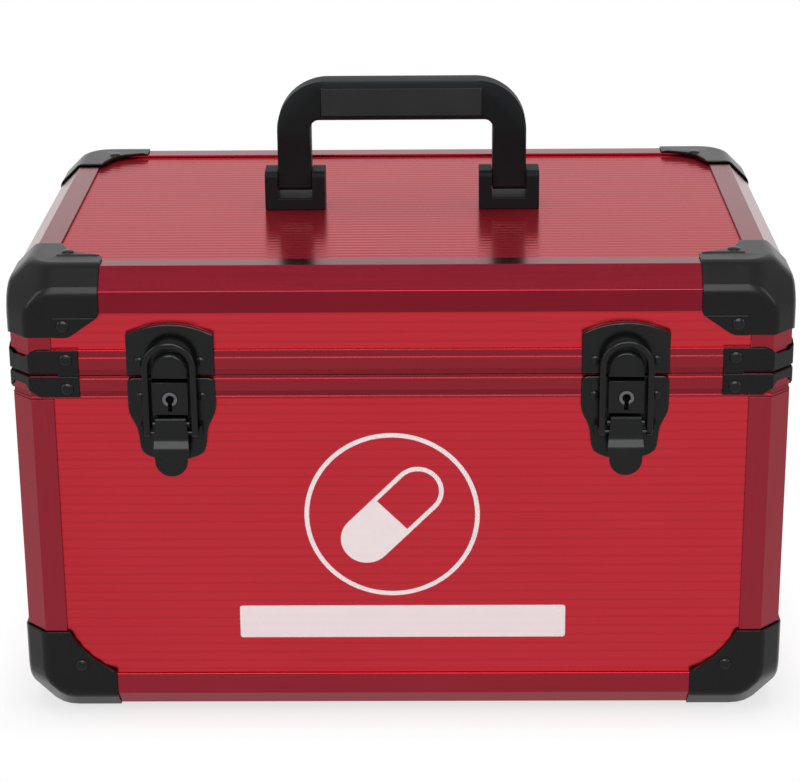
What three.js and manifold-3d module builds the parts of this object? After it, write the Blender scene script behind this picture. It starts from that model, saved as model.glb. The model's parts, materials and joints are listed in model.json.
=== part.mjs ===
// A lockable medicine case: ribbed aluminium boards held in edge extrusions, moulded corners,
// a hinged lid, two key-lockable draw latches and a folding handle.
// Millimetres, +Z up. The front, with the latches, faces -Y. The origin is on the plane that the case
// stands on, midway across its width and midway from the finger tabs in front to the hinges behind.
import * as THREE from "three";
import { ConvexGeometry } from "three/addons/geometries/ConvexGeometry.js";
import { mergeVertices } from "three/addons/utils/BufferGeometryUtils.js";
import Module from "manifold-3d";

const wasm = await Module();
wasm.setup();

// The aluminium case. Heights below are measured up from the underside of its bottom rails.
const WIDTH = 400;
const DEPTH = 260;
const HEIGHT = 246;
const LID_DEPTH = 55.5;
const SEAM = HEIGHT - LID_DEPTH;
const CLEARANCE = 0.3;

// Edge extrusions: two flanges with a 45 degree cut between them, and a slot for each board.
const EDGE_CUT = 10.6;
const FLANGE_REACH = 22;
const SKIN = 1.2;
const LIP_REACH = 20;
const SLOT_ROOT = 13.7;

// Boards: ribbed sheet pushed into the slots.
const BOARD = 3;
const RIB_PITCH = 5;
const GROOVE_WIDTH = 2.4;
const GROOVE_DEPTH = 0.16;
const BOARD_SINK = SKIN + CLEARANCE;
const INNER_WALL = BOARD_SINK + BOARD + CLEARANCE + SKIN;

// Closing frames: the two rims that meet at the seam.
const SEAM_GAP = 0.3;
const BASE_FRAME_HEIGHT = 12.5;
const LID_FRAME_HEIGHT = 13.8;
const FLUTE_DEPTH = 0.45;
const FRAME_BEAD = 1.2;
const FLUTE_HEIGHT = 3;
const LOWER_SEAM_FLUTE = 1.7;
const UPPER_SEAM_FLUTE = 3.3;
const TONGUE_HEIGHT = 5.7;
const TONGUE_THICK = 2.4;
const TONGUE_CLEARANCE = 0.5;
const BASE_SLOT_DEPTH = 6.5;
const LID_SLOT_DEPTH = 5.3;

// Moulded corners.
const CORNER_WALL = 1.5;
const CORNER_RADIUS = 14.8;
const CORNER_ARM = 47.5;
const CORNER_ARC_STEPS = 5;
const CORNER_ARM_WIDTH = 23.4;
const BASE_CORNER_RISE = 47;
const BASE_SWEEP_ACROSS = 16.5;
const BASE_SWEEP_UP = 7.2;
const LID_CORNER_DROP = 34.5;
const LID_FLAP_REACH = 31.5;
const LEVEL_FLAP_NEAR = 28.5;
const LEVEL_FLAP_FAR = 34;
const PAD_START = 23.8;
const PAD_RISE = 0.6;
const CORE_WIDTH = SLOT_ROOT - CLEARANCE;
const CORE_REACH = EDGE_CUT + CORNER_RADIUS + 0.1;
const RAIL_SETBACK = CORE_REACH + CLEARANCE;

// Closure brackets over the corners of the two closing frames.
const BRACKET_ARM = 35.8;
const BRACKET_WALL = 1.1;
const BRACKET_SEAM = 0.3;
const BRACKET_SLIT = 1.9;
const BRACKET_SLIT_REACH = 25.3;
const UPPER_OVERHANG = 0.3;
const UPPER_NOTCH = 4;
const UPPER_NOTCH_SLOPE = 1.55;
const LOWER_SETBACK = 1.5;
const LOWER_NOTCH = 6.3;
const LOWER_NOTCH_SLOPE = 1.1;
const NOTCH_HALF = 4.7;

// Lining.
const LINING_THICK = 1.5;
const BASE_LINING_TOP = SEAM - 1.5;
const LID_LINING_BOTTOM = SEAM + TONGUE_HEIGHT + 1.3;

// Rear hinges.
const HINGE_SPACING = 210;
const HINGE_WIDTH = 44;
const HINGE_LEAF_THICK = 1.5;
const HINGE_BARREL_RADIUS = 3;
const HINGE_PIN_RADIUS = 1.4;
const HINGE_OUTER_KNUCKLE = 12;
const HINGE_LEAF_GAP = 3.4;
const HINGE_AXIS_OUT = CLEARANCE + HINGE_BARREL_RADIUS;

// Handle and its two mounts.
const HANDLE_PIVOT_RISE = 15;
const HANDLE_HALF_WIDTH = 67.8;
const HANDLE_LEG_WIDTH = 18.3;
const HANDLE_TOP_RISE = 54.5;
const HANDLE_GRIP_HEIGHT = 21.3;
const HANDLE_DEPTH = 20;
const HANDLE_LEG_DEPTH = 15;
const HANDLE_OUTER_RADIUS = 27;
const HANDLE_INNER_RADIUS = 4.5;
const HANDLE_LEG_END = 6.3;
const HANDLE_EDGE = 2.8;
const HANDLE_LEG_CHAMFER = 2;
const GRIP_LENGTH = 87;
const GRIP_RECESS = 2.2;
const GRIP_PROUD = 0.3;
const GRIP_BORDER = 2.6;
const HANDLE_PIN_RADIUS = 2.4;
const MOUNT_WIDTH = 32.8;
const MOUNT_DEPTH = 19.4;
const MOUNT_BASE_TOP = 5;
const MOUNT_EAR_TOP = 19.7;
const MOUNT_EAR_ROUND = 3.4;
const MOUNT_EDGE = 0.8;
const MOUNT_ROUND = 1.4;

// Latches. Depths are measured outwards from the front faces of the closing frames.
const LATCH_INSET = 84.05;
const LATCH_SHIFT = -1.25;
const PLATE_HALF = 22.4;
const PLATE_THICK = 2;
const PLATE_EDGE = 0.9;
const PLATE_ROUND = 3.2;
const PLATE_SEAM_GAP = 1.1;
const NOSE_BOTTOM = 0.9;
const CATCH_SHOULDER = 22.6;
const CATCH_CROWN = 5.7;
const NOSE_HALF = 9.5;
const NOSE_RISE = 14.3;
const NOSE_FRONT = 8.6;
const NOSE_EDGE = 1.2;
const LATCH_SHOULDER_DROP = 19.5;
const LATCH_WAIST_DROP = 27.8;
const LATCH_WAIST_HALF = 18;
const LATCH_HEEL_DROP = 41.5;
const LATCH_HEEL_HALF = 16.5;
const LATCH_TOE_DROP = 45.1;
const LATCH_TOE_HALF = 8.5;
const HOUSING_HALF = 9.3;
const HOUSING_BOTTOM_DROP = 18.2;
const HOUSING_TOP_DROP = 0.4;
const HOUSING_FRONT = 9.6;
const HOUSING_WALL = 1.4;
const HOUSING_EDGE = 0.9;
const PLUG_DROP = 9.4;
const PLUG_RADIUS = 3.8;
const PLUG_PROUD = 0.4;
const KEYHOLE_RADIUS = 2.2;
const KEYHOLE_SLOT_HALF = 1.1;
const KEYWAY_DROP = 6.6;
const CAM_REACH = 7.2;
const CAM_WIDTH = 4;
const CAM_THICK = 1.5;
const LUG_RADIUS = 1.9;
const LUG_GAP = 0.25;
const CHEEK_INSET = 0.15;
const PIN_PROUD = 0.3;
const LEVER_PIN_RADIUS = 1;
const LEVER_PIVOT_DROP = 23.5;
const LEVER_PIVOT_OUT = 7.6;
const LEVER_TOP_DROP = 19.4;
const LEVER_TOP_CHAMFER = 0.7;
const LEVER_TOP_HALF = 7.75;
const LEVER_BEND_DROP = 29;
const LEVER_STEP_DROP = 37.4;
const LEVER_FOLD_STEPS = 6;
const LEVER_STEP_HALF = 9.35;
const LEVER_SHEET = 1.4;
const LEVER_FRONT = 11.1;
const TAB_OUT = 2.5;
const TAB_HALF = 8.4;
const TAB_TIP_DROP = 50;
const CHEEK_BACK = 5.4;
const BAIL_HALF = 13.8;
const BAIL_STRIP = 3.2;
const BAIL_TOP_RISE = 21.3;
const BAIL_BACK = NOSE_FRONT + 0.4;
const BAIL_THICK = 2.4;
const BAIL_EDGE = 0.9;
const BAIL_PIVOT_DROP = 28;
const BAIL_PIVOT_OUT = 8.3;
const BAIL_EYE_RADIUS = 2.5;
const BAIL_PIN_RADIUS = 1.1;
const EAR_THICK = 1.2;
const EAR_GAP = 0.7;
const EAR_SLOPE = 2.5;
const EAR_TOP_DROP = 22.6;
const EAR_BOTTOM_DROP = 33;
const EAR_FRONT = 6.8;

const anodisedRed = new THREE.MeshStandardMaterial({ color: 0xb92e37, metalness: 0.6, roughness: 0.35 });
const railRed = new THREE.MeshStandardMaterial({ color: 0x88202c, metalness: 0.7, roughness: 0.3 });
const blackPlastic = new THREE.MeshStandardMaterial({ color: 0x232325, metalness: 0, roughness: 0.45 });
const blackSteel = new THREE.MeshStandardMaterial({ color: 0x1d1f20, metalness: 0.4, roughness: 0.35 });
const softGrip = new THREE.MeshStandardMaterial({ color: 0x2b2b2c, metalness: 0, roughness: 0.7 });
const liningGrey = new THREE.MeshStandardMaterial({ color: 0x2e2f33, metalness: 0, roughness: 0.95 });

// A closed geometry as a solid that can be joined or cut.
function toSolid(geometry) {
  const bare = geometry.clone();
  bare.deleteAttribute("normal");
  bare.deleteAttribute("uv");
  const merged = mergeVertices(bare, 1e-4);
  const mesh = new wasm.Mesh({
    numProp: 3,
    vertProperties: new Float32Array(merged.attributes.position.array),
    triVerts: new Uint32Array(merged.index.array),
  });
  return new wasm.Manifold(mesh);
}

function toGeometry(solid) {
  const mesh = solid.getMesh();
  const geometry = new THREE.BufferGeometry();
  geometry.setAttribute("position", new THREE.BufferAttribute(mesh.vertProperties, 3));
  geometry.setIndex(new THREE.BufferAttribute(mesh.triVerts, 1));
  geometry.computeVertexNormals();
  return geometry;
}

const join = (...solids) => solids.reduce((sum, next) => sum.add(next));
const cut = (body, ...tools) => tools.reduce((left, tool) => left.subtract(tool), body);

const outline = (points) => new THREE.Shape(points.map(([x, y]) => new THREE.Vector2(x, y)));

// The same with each corner rounded off, starting up to a reach before it.
function softOutline(points, reach) {
  const corners = points.map(([x, y]) => new THREE.Vector2(x, y));
  const shape = new THREE.Shape();
  corners.forEach((corner, k) => {
    const before = corners.at(k - 1);
    const after = corners[(k + 1) % corners.length];
    const start = corner.clone().lerp(before, Math.min(0.45, reach / corner.distanceTo(before)));
    const end = corner.clone().lerp(after, Math.min(0.45, reach / corner.distanceTo(after)));
    if (k === 0) shape.moveTo(start.x, start.y);
    else shape.lineTo(start.x, start.y);
    shape.quadraticCurveTo(corner.x, corner.y, end.x, end.y);
  });
  shape.closePath();
  return shape;
}

// A prism of an outline drawn on XY, from z = from to z = to. An edge bevels both ends inwards.
function prism(shape, from, to, edge = 0, curveSegments = 8) {
  const geometry = new THREE.ExtrudeGeometry(shape, {
    depth: to - from - 2 * edge,
    bevelEnabled: edge > 0,
    bevelThickness: edge,
    bevelSize: edge,
    bevelOffset: -edge,
    bevelSegments: 2,
    curveSegments,
  });
  return geometry.translate(0, 0, from + edge);
}

// The same prism with its front end bevelled and its back end square.
function frontBevelled(shape, from, to, edge, curveSegments = 8) {
  const square = toSolid(prism(shape, from, to - edge, 0, curveSegments));
  return square.add(toSolid(prism(shape, from, to, edge, curveSegments)));
}

// The ends of a span along X on the side that a sign names, lowest first.
function spanOnSide(sign, near, far) {
  return sign > 0 ? [near, far] : [-far, -near];
}

// A box from its lowest and highest corners.
function box(low, high) {
  const size = high.map((value, k) => value - low[k]);
  const middle = high.map((value, k) => (value + low[k]) / 2);
  return toSolid(new THREE.BoxGeometry(...size).translate(...middle));
}

// A round bar along X.
function barAlongX(radius, from, to, y, z, sides = 16) {
  const bar = new THREE.CylinderGeometry(radius, radius, to - from, sides);
  return toSolid(bar.rotateZ(-Math.PI / 2).translate((from + to) / 2, y, z));
}

// A round bar along Z.
function barAlongZ(radius, from, to, x, y, sides = 24) {
  const bar = new THREE.CylinderGeometry(radius, radius, to - from, sides);
  return toSolid(bar.rotateX(Math.PI / 2).translate(x, y, (from + to) / 2));
}

// A prism along X of an outline drawn on YZ, as [y, z] pairs.
function prismAlongX(points, from, to) {
  const geometry = prism(outline(points), from, to);
  const basis = new THREE.Matrix4().makeBasis(
    new THREE.Vector3(0, 1, 0),
    new THREE.Vector3(0, 0, 1),
    new THREE.Vector3(1, 0, 0),
  );
  return toSolid(geometry.applyMatrix4(basis));
}

const part = new THREE.Group();
const raised = new THREE.Group();
const frontReach = LEVER_FRONT + TAB_OUT;
const backReach = HINGE_AXIS_OUT + HINGE_BARREL_RADIUS;
raised.position.set(0, (frontReach - backReach) / 2, CORNER_WALL);
part.add(raised);

function addMesh(group, name, geometry, material) {
  const mesh = new THREE.Mesh(geometry, material);
  mesh.name = name;
  group.add(mesh);
  return mesh;
}

const AXES = {
  right: new THREE.Vector3(1, 0, 0),
  left: new THREE.Vector3(-1, 0, 0),
  back: new THREE.Vector3(0, 1, 0),
  front: new THREE.Vector3(0, -1, 0),
  up: new THREE.Vector3(0, 0, 1),
  down: new THREE.Vector3(0, 0, -1),
};

// Stands a mesh at a point, with its own X and Y along two named directions.
function orient(mesh, point, xDirection, yDirection) {
  const x = AXES[xDirection];
  const y = AXES[yDirection];
  const z = new THREE.Vector3().crossVectors(x, y);
  mesh.applyMatrix4(new THREE.Matrix4().makeBasis(x, y, z).setPosition(...point));
}

// Edge extrusions
// The section's own X and Y run inwards from the two faces that meet at the edge.
const innerCut = EDGE_CUT - INNER_WALL * (2 - Math.SQRT2);
const extrusionHalf = [
  [0, FLANGE_REACH],
  [0, EDGE_CUT],
];
const slotHalf = [
  [INNER_WALL, INNER_WALL + innerCut],
  [INNER_WALL, LIP_REACH],
  [INNER_WALL - SKIN, LIP_REACH],
  [INNER_WALL - SKIN, SLOT_ROOT],
  [SKIN, SLOT_ROOT],
  [SKIN, FLANGE_REACH],
];
const swapped = (points) => points.map(([a, b]) => [b, a]).reverse();
const extrusionSection = [
  ...extrusionHalf,
  ...swapped(extrusionHalf),
  ...swapped(slotHalf),
  ...slotHalf,
];

function edgeExtrusion(length) {
  return prism(outline(extrusionSection), -length / 2, length / 2);
}

const halfWidth = WIDTH / 2;
const halfDepth = DEPTH / 2;
const baseFrameBottom = SEAM - BASE_FRAME_HEIGHT;
const lidFrameTop = SEAM + LID_FRAME_HEIGHT;

function addRail(name, length, point, inwardA, inwardB) {
  orient(addMesh(raised, name, edgeExtrusion(length), railRed), point, inwardA, inwardB);
}

const longRail = WIDTH - 2 * RAIL_SETBACK;
const shortRail = DEPTH - 2 * RAIL_SETBACK;
addRail("front_bottom_rail", longRail, [0, -halfDepth, 0], "back", "up");
addRail("back_bottom_rail", longRail, [0, halfDepth, 0], "front", "up");
addRail("left_bottom_rail", shortRail, [-halfWidth, 0, 0], "right", "up");
addRail("right_bottom_rail", shortRail, [halfWidth, 0, 0], "left", "up");
addRail("front_top_rail", longRail, [0, -halfDepth, HEIGHT], "back", "down");
addRail("back_top_rail", longRail, [0, halfDepth, HEIGHT], "front", "down");
addRail("left_top_rail", shortRail, [-halfWidth, 0, HEIGHT], "right", "down");
addRail("right_top_rail", shortRail, [halfWidth, 0, HEIGHT], "left", "down");

const postTop = baseFrameBottom - CLEARANCE;
const postLength = postTop - RAIL_SETBACK;
const postMiddle = (postTop + RAIL_SETBACK) / 2;
for (const [side, x, inwardX] of [["left", -halfWidth, "right"], ["right", halfWidth, "left"]]) {
  addRail("front_" + side + "_post", postLength, [x, -halfDepth, postMiddle], inwardX, "back");
  addRail("back_" + side + "_post", postLength, [x, halfDepth, postMiddle], inwardX, "front");
}

// Ribbed boards
// The section's own X runs inwards through the board and its Y runs across the grooves.
function ribbedBoard(span, length) {
  const count = Math.floor((span - GROOVE_WIDTH) / RIB_PITCH);
  const first = (span - (count - 1) * RIB_PITCH) / 2;
  const points = [[BOARD, 0], [BOARD, span], [0, span]];
  for (let k = count - 1; k >= 0; k -= 1) {
    const middle = first + k * RIB_PITCH;
    points.push([0, middle + GROOVE_WIDTH / 2]);
    points.push([GROOVE_DEPTH, middle]);
    points.push([0, middle - GROOVE_WIDTH / 2]);
  }
  points.push([0, 0]);
  return prism(outline(points), -length / 2, length / 2);
}

function addBoard(name, span, length, point, inward, across) {
  orient(addMesh(raised, name, ribbedBoard(span, length), anodisedRed), point, inward, across);
}

const boardEdge = SLOT_ROOT + CLEARANCE;
const boardWidth = WIDTH - 2 * boardEdge;
const boardDepth = DEPTH - 2 * boardEdge;
const baseBoardTop = baseFrameBottom + BASE_SLOT_DEPTH - CLEARANCE;
const lidBoardBottom = lidFrameTop - LID_SLOT_DEPTH + CLEARANCE;
const wallY = halfDepth - BOARD_SINK;
const wallX = halfWidth - BOARD_SINK;
const walls = [
  ["front", boardWidth, [0, -wallY], "back"],
  ["back", boardWidth, [0, wallY], "front"],
  ["left", boardDepth, [-wallX, 0], "right"],
  ["right", boardDepth, [wallX, 0], "left"],
];
for (const [side, length, [x, y], inward] of walls) {
  addBoard(side + "_panel", baseBoardTop - boardEdge, length, [x, y, boardEdge], inward, "up");
  const lidSpan = HEIGHT - boardEdge - lidBoardBottom;
  addBoard("lid_" + side + "_panel", lidSpan, length, [x, y, lidBoardBottom], inward, "up");
}
const floorBoard = box(
  [-boardWidth / 2, -boardDepth / 2, BOARD_SINK],
  [boardWidth / 2, boardDepth / 2, BOARD_SINK + BOARD],
);
addMesh(raised, "bottom_panel", toGeometry(floorBoard), anodisedRed);
addBoard("top_panel", boardDepth, boardWidth, [0, -boardDepth / 2, HEIGHT - BOARD_SINK], "down", "back");

// Closing frames
// A ring of one section, given as [inset, height] pairs, with its corners cut at 45 degrees.
function ringCorners(inset) {
  const x = halfWidth - inset;
  const y = halfDepth - inset;
  const c = EDGE_CUT - inset * (2 - Math.SQRT2);
  return [
    [x, -y + c], [x, y - c], [x - c, y], [-x + c, y],
    [-x, y - c], [-x, -y + c], [-x + c, -y], [x - c, -y],
  ];
}

function sweptRing(section) {
  const ordered = THREE.ShapeUtils.isClockWise(section.map(([a, z]) => new THREE.Vector2(a, z)))
    ? section
    : [...section].reverse();
  const positions = [];
  for (const [inset, z] of ordered) {
    for (const [x, y] of ringCorners(inset)) positions.push(x, y, z);
  }
  const corners = ringCorners(0).length;
  const index = [];
  for (let i = 0; i < ordered.length; i += 1) {
    const next = (i + 1) % ordered.length;
    for (let k = 0; k < corners; k += 1) {
      const turn = (k + 1) % corners;
      const [a, b] = [i * corners + k, i * corners + turn];
      const [c, d] = [next * corners + turn, next * corners + k];
      index.push(a, b, c, a, c, d);
    }
  }
  const geometry = new THREE.BufferGeometry();
  geometry.setAttribute("position", new THREE.Float32BufferAttribute(positions, 3));
  geometry.setIndex(index);
  return geometry;
}

const slotInner = INNER_WALL - SKIN;
const tongueTop = SEAM + TONGUE_HEIGHT;
const baseRim = SEAM - SEAM_GAP / 2;
const lidRim = SEAM + SEAM_GAP / 2;
const baseFrame = sweptRing([
  [0, baseFrameBottom],
  [0, baseFrameBottom + FRAME_BEAD],
  [FLUTE_DEPTH, baseFrameBottom + FRAME_BEAD],
  [FLUTE_DEPTH, baseFrameBottom + FRAME_BEAD + FLUTE_HEIGHT],
  [0, baseFrameBottom + FRAME_BEAD + FLUTE_HEIGHT],
  [0, SEAM - LOWER_SEAM_FLUTE],
  [FLUTE_DEPTH, SEAM - LOWER_SEAM_FLUTE],
  [FLUTE_DEPTH, baseRim],
  [INNER_WALL - TONGUE_THICK, baseRim],
  [INNER_WALL - TONGUE_THICK, tongueTop],
  [INNER_WALL, tongueTop],
  [INNER_WALL, baseFrameBottom],
  [slotInner, baseFrameBottom],
  [slotInner, baseFrameBottom + BASE_SLOT_DEPTH],
  [SKIN, baseFrameBottom + BASE_SLOT_DEPTH],
  [SKIN, baseFrameBottom],
]);
addMesh(raised, "base_closing_frame", baseFrame, railRed);

const rebate = INNER_WALL - TONGUE_THICK - TONGUE_CLEARANCE;
const lidFrame = sweptRing([
  [FLUTE_DEPTH, lidRim],
  [FLUTE_DEPTH, SEAM + UPPER_SEAM_FLUTE],
  [0, SEAM + UPPER_SEAM_FLUTE],
  [0, lidFrameTop - FRAME_BEAD - FLUTE_HEIGHT],
  [FLUTE_DEPTH, lidFrameTop - FRAME_BEAD - FLUTE_HEIGHT],
  [FLUTE_DEPTH, lidFrameTop - FRAME_BEAD],
  [0, lidFrameTop - FRAME_BEAD],
  [0, lidFrameTop],
  [SKIN, lidFrameTop],
  [SKIN, lidFrameTop - LID_SLOT_DEPTH],
  [slotInner, lidFrameTop - LID_SLOT_DEPTH],
  [slotInner, lidFrameTop],
  [INNER_WALL, lidFrameTop],
  [INNER_WALL, tongueTop + TONGUE_CLEARANCE],
  [rebate, tongueTop + TONGUE_CLEARANCE],
  [rebate, lidRim],
]);

// The lid's four short corner posts are one piece with its frame.
function lidPost(signX, signY) {
  const from = lidFrameTop - CLEARANCE;
  const to = HEIGHT - RAIL_SETBACK;
  const post = prism(outline(extrusionSection), from, to);
  const turned = new THREE.Matrix4().makeBasis(
    new THREE.Vector3(-signX, 0, 0),
    new THREE.Vector3(0, -signY, 0),
    new THREE.Vector3(0, 0, 1),
  );
  post.applyMatrix4(turned.setPosition(signX * halfWidth, signY * halfDepth, 0));
  if (signX * signY < 0) flipWinding(post);
  return toSolid(post);
}

// Turns the faces of an unindexed geometry round, after a mirroring.
function flipWinding(geometry) {
  const position = geometry.attributes.position;
  for (let k = 0; k < position.count; k += 3) {
    const first = new THREE.Vector3().fromBufferAttribute(position, k);
    const last = new THREE.Vector3().fromBufferAttribute(position, k + 2);
    position.setXYZ(k, last.x, last.y, last.z);
    position.setXYZ(k + 2, first.x, first.y, first.z);
  }
}

const lidPosts = [[-1, -1], [1, -1], [-1, 1], [1, 1]].map(([x, y]) => lidPost(x, y));
addMesh(raised, "lid_closing_frame", toGeometry(join(toSolid(lidFrame), ...lidPosts)), railRed);

// The case as one block, with every edge cut at 45 degrees and set back by an inset.
// With a corner radius its flat faces also have round corners, and the cuts sweep round them.
function caseBlock(inset, cornerRadius) {
  const c = EDGE_CUT - inset * (2 - Math.SQRT2);
  const half = [halfWidth - inset, halfDepth - inset, HEIGHT / 2 - inset];
  const steps = cornerRadius > 0 ? CORNER_ARC_STEPS : 0;
  const points = [];
  for (let axis = 0; axis < 3; axis += 1) {
    const [i, j] = [(axis + 1) % 3, (axis + 2) % 3];
    for (let step = 0; step <= steps; step += 1) {
      const angle = steps ? (step / steps) * (Math.PI / 2) : 0;
      const corner = [0, 0, 0];
      corner[axis] = half[axis];
      corner[i] = half[i] - c - cornerRadius * (1 - Math.cos(angle));
      corner[j] = half[j] - c - cornerRadius * (1 - Math.sin(angle));
      for (const sx of [-1, 1]) {
        for (const sy of [-1, 1]) {
          for (const sz of [-1, 1]) {
            points.push(new THREE.Vector3(sx * corner[0], sy * corner[1], sz * corner[2] + HEIGHT / 2));
          }
        }
      }
    }
  }
  return toSolid(new ConvexGeometry(points));
}

// Moulded corners
// Each is drawn at the right front corner and mirrored to the other three.
const outerForm = caseBlock(-CORNER_WALL, CORNER_RADIUS);
const innerForm = caseBlock(-CLEARANCE, CORNER_RADIUS);
const padForm = caseBlock(-CORNER_WALL - PAD_RISE, CORNER_RADIUS);
const innerBlock = caseBlock(INNER_WALL, 0);
const BEYOND = CORNER_WALL + 5;

// The free edge of each face of a corner, from the end of one arm to the end of the other.
// Each point is measured inwards from the two edges of the face.
const lidWallEdge = [[CORNER_ARM, CORNER_ARM_WIDTH], [LID_FLAP_REACH, LID_CORNER_DROP]];
const levelEdge = [
  [CORNER_ARM, CORNER_ARM_WIDTH],
  [LEVEL_FLAP_FAR, LEVEL_FLAP_NEAR],
  [LEVEL_FLAP_NEAR, LEVEL_FLAP_FAR],
  [CORNER_ARM_WIDTH, CORNER_ARM],
];
const baseSweep = new THREE.QuadraticBezierCurve(
  new THREE.Vector2(CORNER_ARM, CORNER_ARM_WIDTH),
  new THREE.Vector2(CORNER_ARM - BASE_SWEEP_ACROSS, CORNER_ARM_WIDTH + BASE_SWEEP_UP),
  new THREE.Vector2(CORNER_ARM_WIDTH, BASE_CORNER_RISE),
);
const baseWallEdge = baseSweep.getPoints(CORNER_ARC_STEPS).map((point) => [point.x, point.y]);

// Puts a prism of a corner's face against the walls that meet there, for the lid or the base.
function facePrism(edge, xAxis, yAxis, top) {
  const last = edge[edge.length - 1];
  const face = outline([[-BEYOND, -BEYOND], [edge[0][0], -BEYOND], ...edge, [-BEYOND, last[1]]]);
  const geometry = prism(face, -BEYOND, EDGE_CUT);
  const z = new THREE.Vector3(1, 1, 1).sub(xAxis).sub(yAxis);
  const basis = new THREE.Matrix4().makeBasis(xAxis, yAxis, z);
  if (basis.determinant() < 0) flipWinding(geometry);
  geometry.applyMatrix4(basis);
  geometry.applyMatrix4(new THREE.Matrix4().makeScale(-1, 1, top ? -1 : 1));
  if (!top) flipWinding(geometry);
  return toSolid(geometry.translate(halfWidth, -halfDepth, top ? HEIGHT : 0));
}

// A box against the corner, reaching from one pair of distances to another on each axis.
// Distances run inwards from the case's faces, and negative ones lie outside them.
function cornerBox(x, y, z, top) {
  const zRange = top ? [HEIGHT - z[1], HEIGHT - z[0]] : z;
  return box(
    [halfWidth - x[1], -halfDepth + y[0], zRange[0]],
    [halfWidth - x[0], -halfDepth + y[1], zRange[1]],
  );
}

function mouldedCorner(wallEdge, top) {
  const [x, y, z] = [AXES.right, AXES.back, AXES.up];
  const keep = join(
    facePrism(wallEdge, x, z, top),
    facePrism(wallEdge, y, z, top),
    facePrism(levelEdge, x, y, top),
  );
  const outside = [-BEYOND, EDGE_CUT];
  const inside = [PAD_START, CORNER_ARM + BEYOND];
  const pads = [cornerBox(inside, outside, inside, top), cornerBox(outside, inside, inside, top)];
  if (top) pads.push(cornerBox(inside, inside, outside, top));
  const form = outerForm.add(padForm.intersect(join(...pads)));
  const shell = form.subtract(innerForm).intersect(keep);
  const reach = [-BEYOND, CORE_REACH];
  const width = [-BEYOND, CORE_WIDTH];
  const bars = join(
    cornerBox(reach, width, width, top),
    cornerBox(width, reach, width, top),
    cornerBox(width, width, reach, top),
  );
  const core = outerForm.intersect(bars).subtract(innerBlock);
  return toGeometry(shell.add(core));
}

const CORNERS = [
  ["front_right", 1, 1],
  ["front_left", -1, 1],
  ["back_right", 1, -1],
  ["back_left", -1, -1],
];

function addFour(prefix, geometry, material) {
  for (const [place, scaleX, scaleY] of CORNERS) {
    addMesh(raised, prefix + place, geometry, material).scale.set(scaleX, scaleY, 1);
  }
}

addFour("base_corner_", mouldedCorner(baseWallEdge, false), blackPlastic);
addFour("lid_corner_", mouldedCorner(lidWallEdge, true), blackPlastic);

// Closure brackets
// A notch over the cut corner is a trapezium swept outwards along the diagonal.
const notchInset = EDGE_CUT * 1.5;
function closureBracket(from, to, notchAt, notchTo, slope) {
  const ring = toSolid(sweptRing([
    [-CLEARANCE, from],
    [-CLEARANCE, to],
    [-BRACKET_WALL, to],
    [-BRACKET_WALL, from],
  ]));
  const corner = box(
    [halfWidth - BRACKET_ARM, -halfDepth - BEYOND, from - 1],
    [halfWidth + BEYOND, -halfDepth + BRACKET_ARM, to + 1],
  );
  const mouth = NOTCH_HALF + slope * Math.abs(notchTo - notchAt);
  const notch = prismAlongX(
    [[-mouth, notchTo], [mouth, notchTo], [NOTCH_HALF, notchAt], [-NOTCH_HALF, notchAt]],
    0, 2 * (EDGE_CUT + BEYOND),
  );
  const turned = toGeometry(notch).rotateZ(-Math.PI / 4);
  turned.translate(halfWidth - notchInset, -halfDepth + notchInset, 0);
  return ring.intersect(corner).subtract(toSolid(turned));
}

const slit = box(
  [halfWidth - BRACKET_SLIT_REACH, -halfDepth - BEYOND, SEAM],
  [halfWidth + BEYOND, -halfDepth + BRACKET_SLIT_REACH, SEAM + BRACKET_SLIT],
);
const upperTop = lidFrameTop + UPPER_OVERHANG;
const upperBracket = toGeometry(closureBracket(
  SEAM + BRACKET_SEAM, upperTop, upperTop - UPPER_NOTCH, upperTop + 1, UPPER_NOTCH_SLOPE,
).subtract(slit));
const lowerBottom = baseFrameBottom + LOWER_SETBACK;
const lowerBracket = toGeometry(closureBracket(
  lowerBottom, SEAM, lowerBottom + LOWER_NOTCH, lowerBottom - 1, LOWER_NOTCH_SLOPE,
));
addFour("lid_bracket_", upperBracket, blackPlastic);
addFour("base_bracket_", lowerBracket, blackPlastic);

// Linings
const liningShell = caseBlock(INNER_WALL + CLEARANCE, 0)
  .subtract(caseBlock(INNER_WALL + CLEARANCE + LINING_THICK, 0));
const below = (top) => box([-WIDTH, -DEPTH, -HEIGHT], [WIDTH, DEPTH, top]);
addMesh(raised, "base_lining", toGeometry(liningShell.intersect(below(BASE_LINING_TOP))), liningGrey);
addMesh(raised, "lid_lining", toGeometry(liningShell.subtract(below(LID_LINING_BOTTOM))), liningGrey);

// Rear hinges
// Drawn with X along the pin, Y up from the pin's axis and Z outwards from the back of the case.
function hingeLeaf(sign, from, to, knuckles) {
  const [low, high] = sign > 0 ? [HINGE_LEAF_GAP, to] : [-from, -HINGE_LEAF_GAP];
  const half = HINGE_WIDTH / 2;
  const pieces = [box([-half, low, CLEARANCE], [half, high, CLEARANCE + HINGE_LEAF_THICK])];
  for (const [x0, x1] of knuckles) {
    const neck = sign > 0 ? [0, low + 1] : [high - 1, 0];
    pieces.push(box([x0, neck[0], CLEARANCE], [x1, neck[1], CLEARANCE + HINGE_LEAF_THICK]));
    pieces.push(barAlongX(HINGE_BARREL_RADIUS, x0, x1, 0, HINGE_AXIS_OUT));
  }
  return join(...pieces);
}

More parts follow.
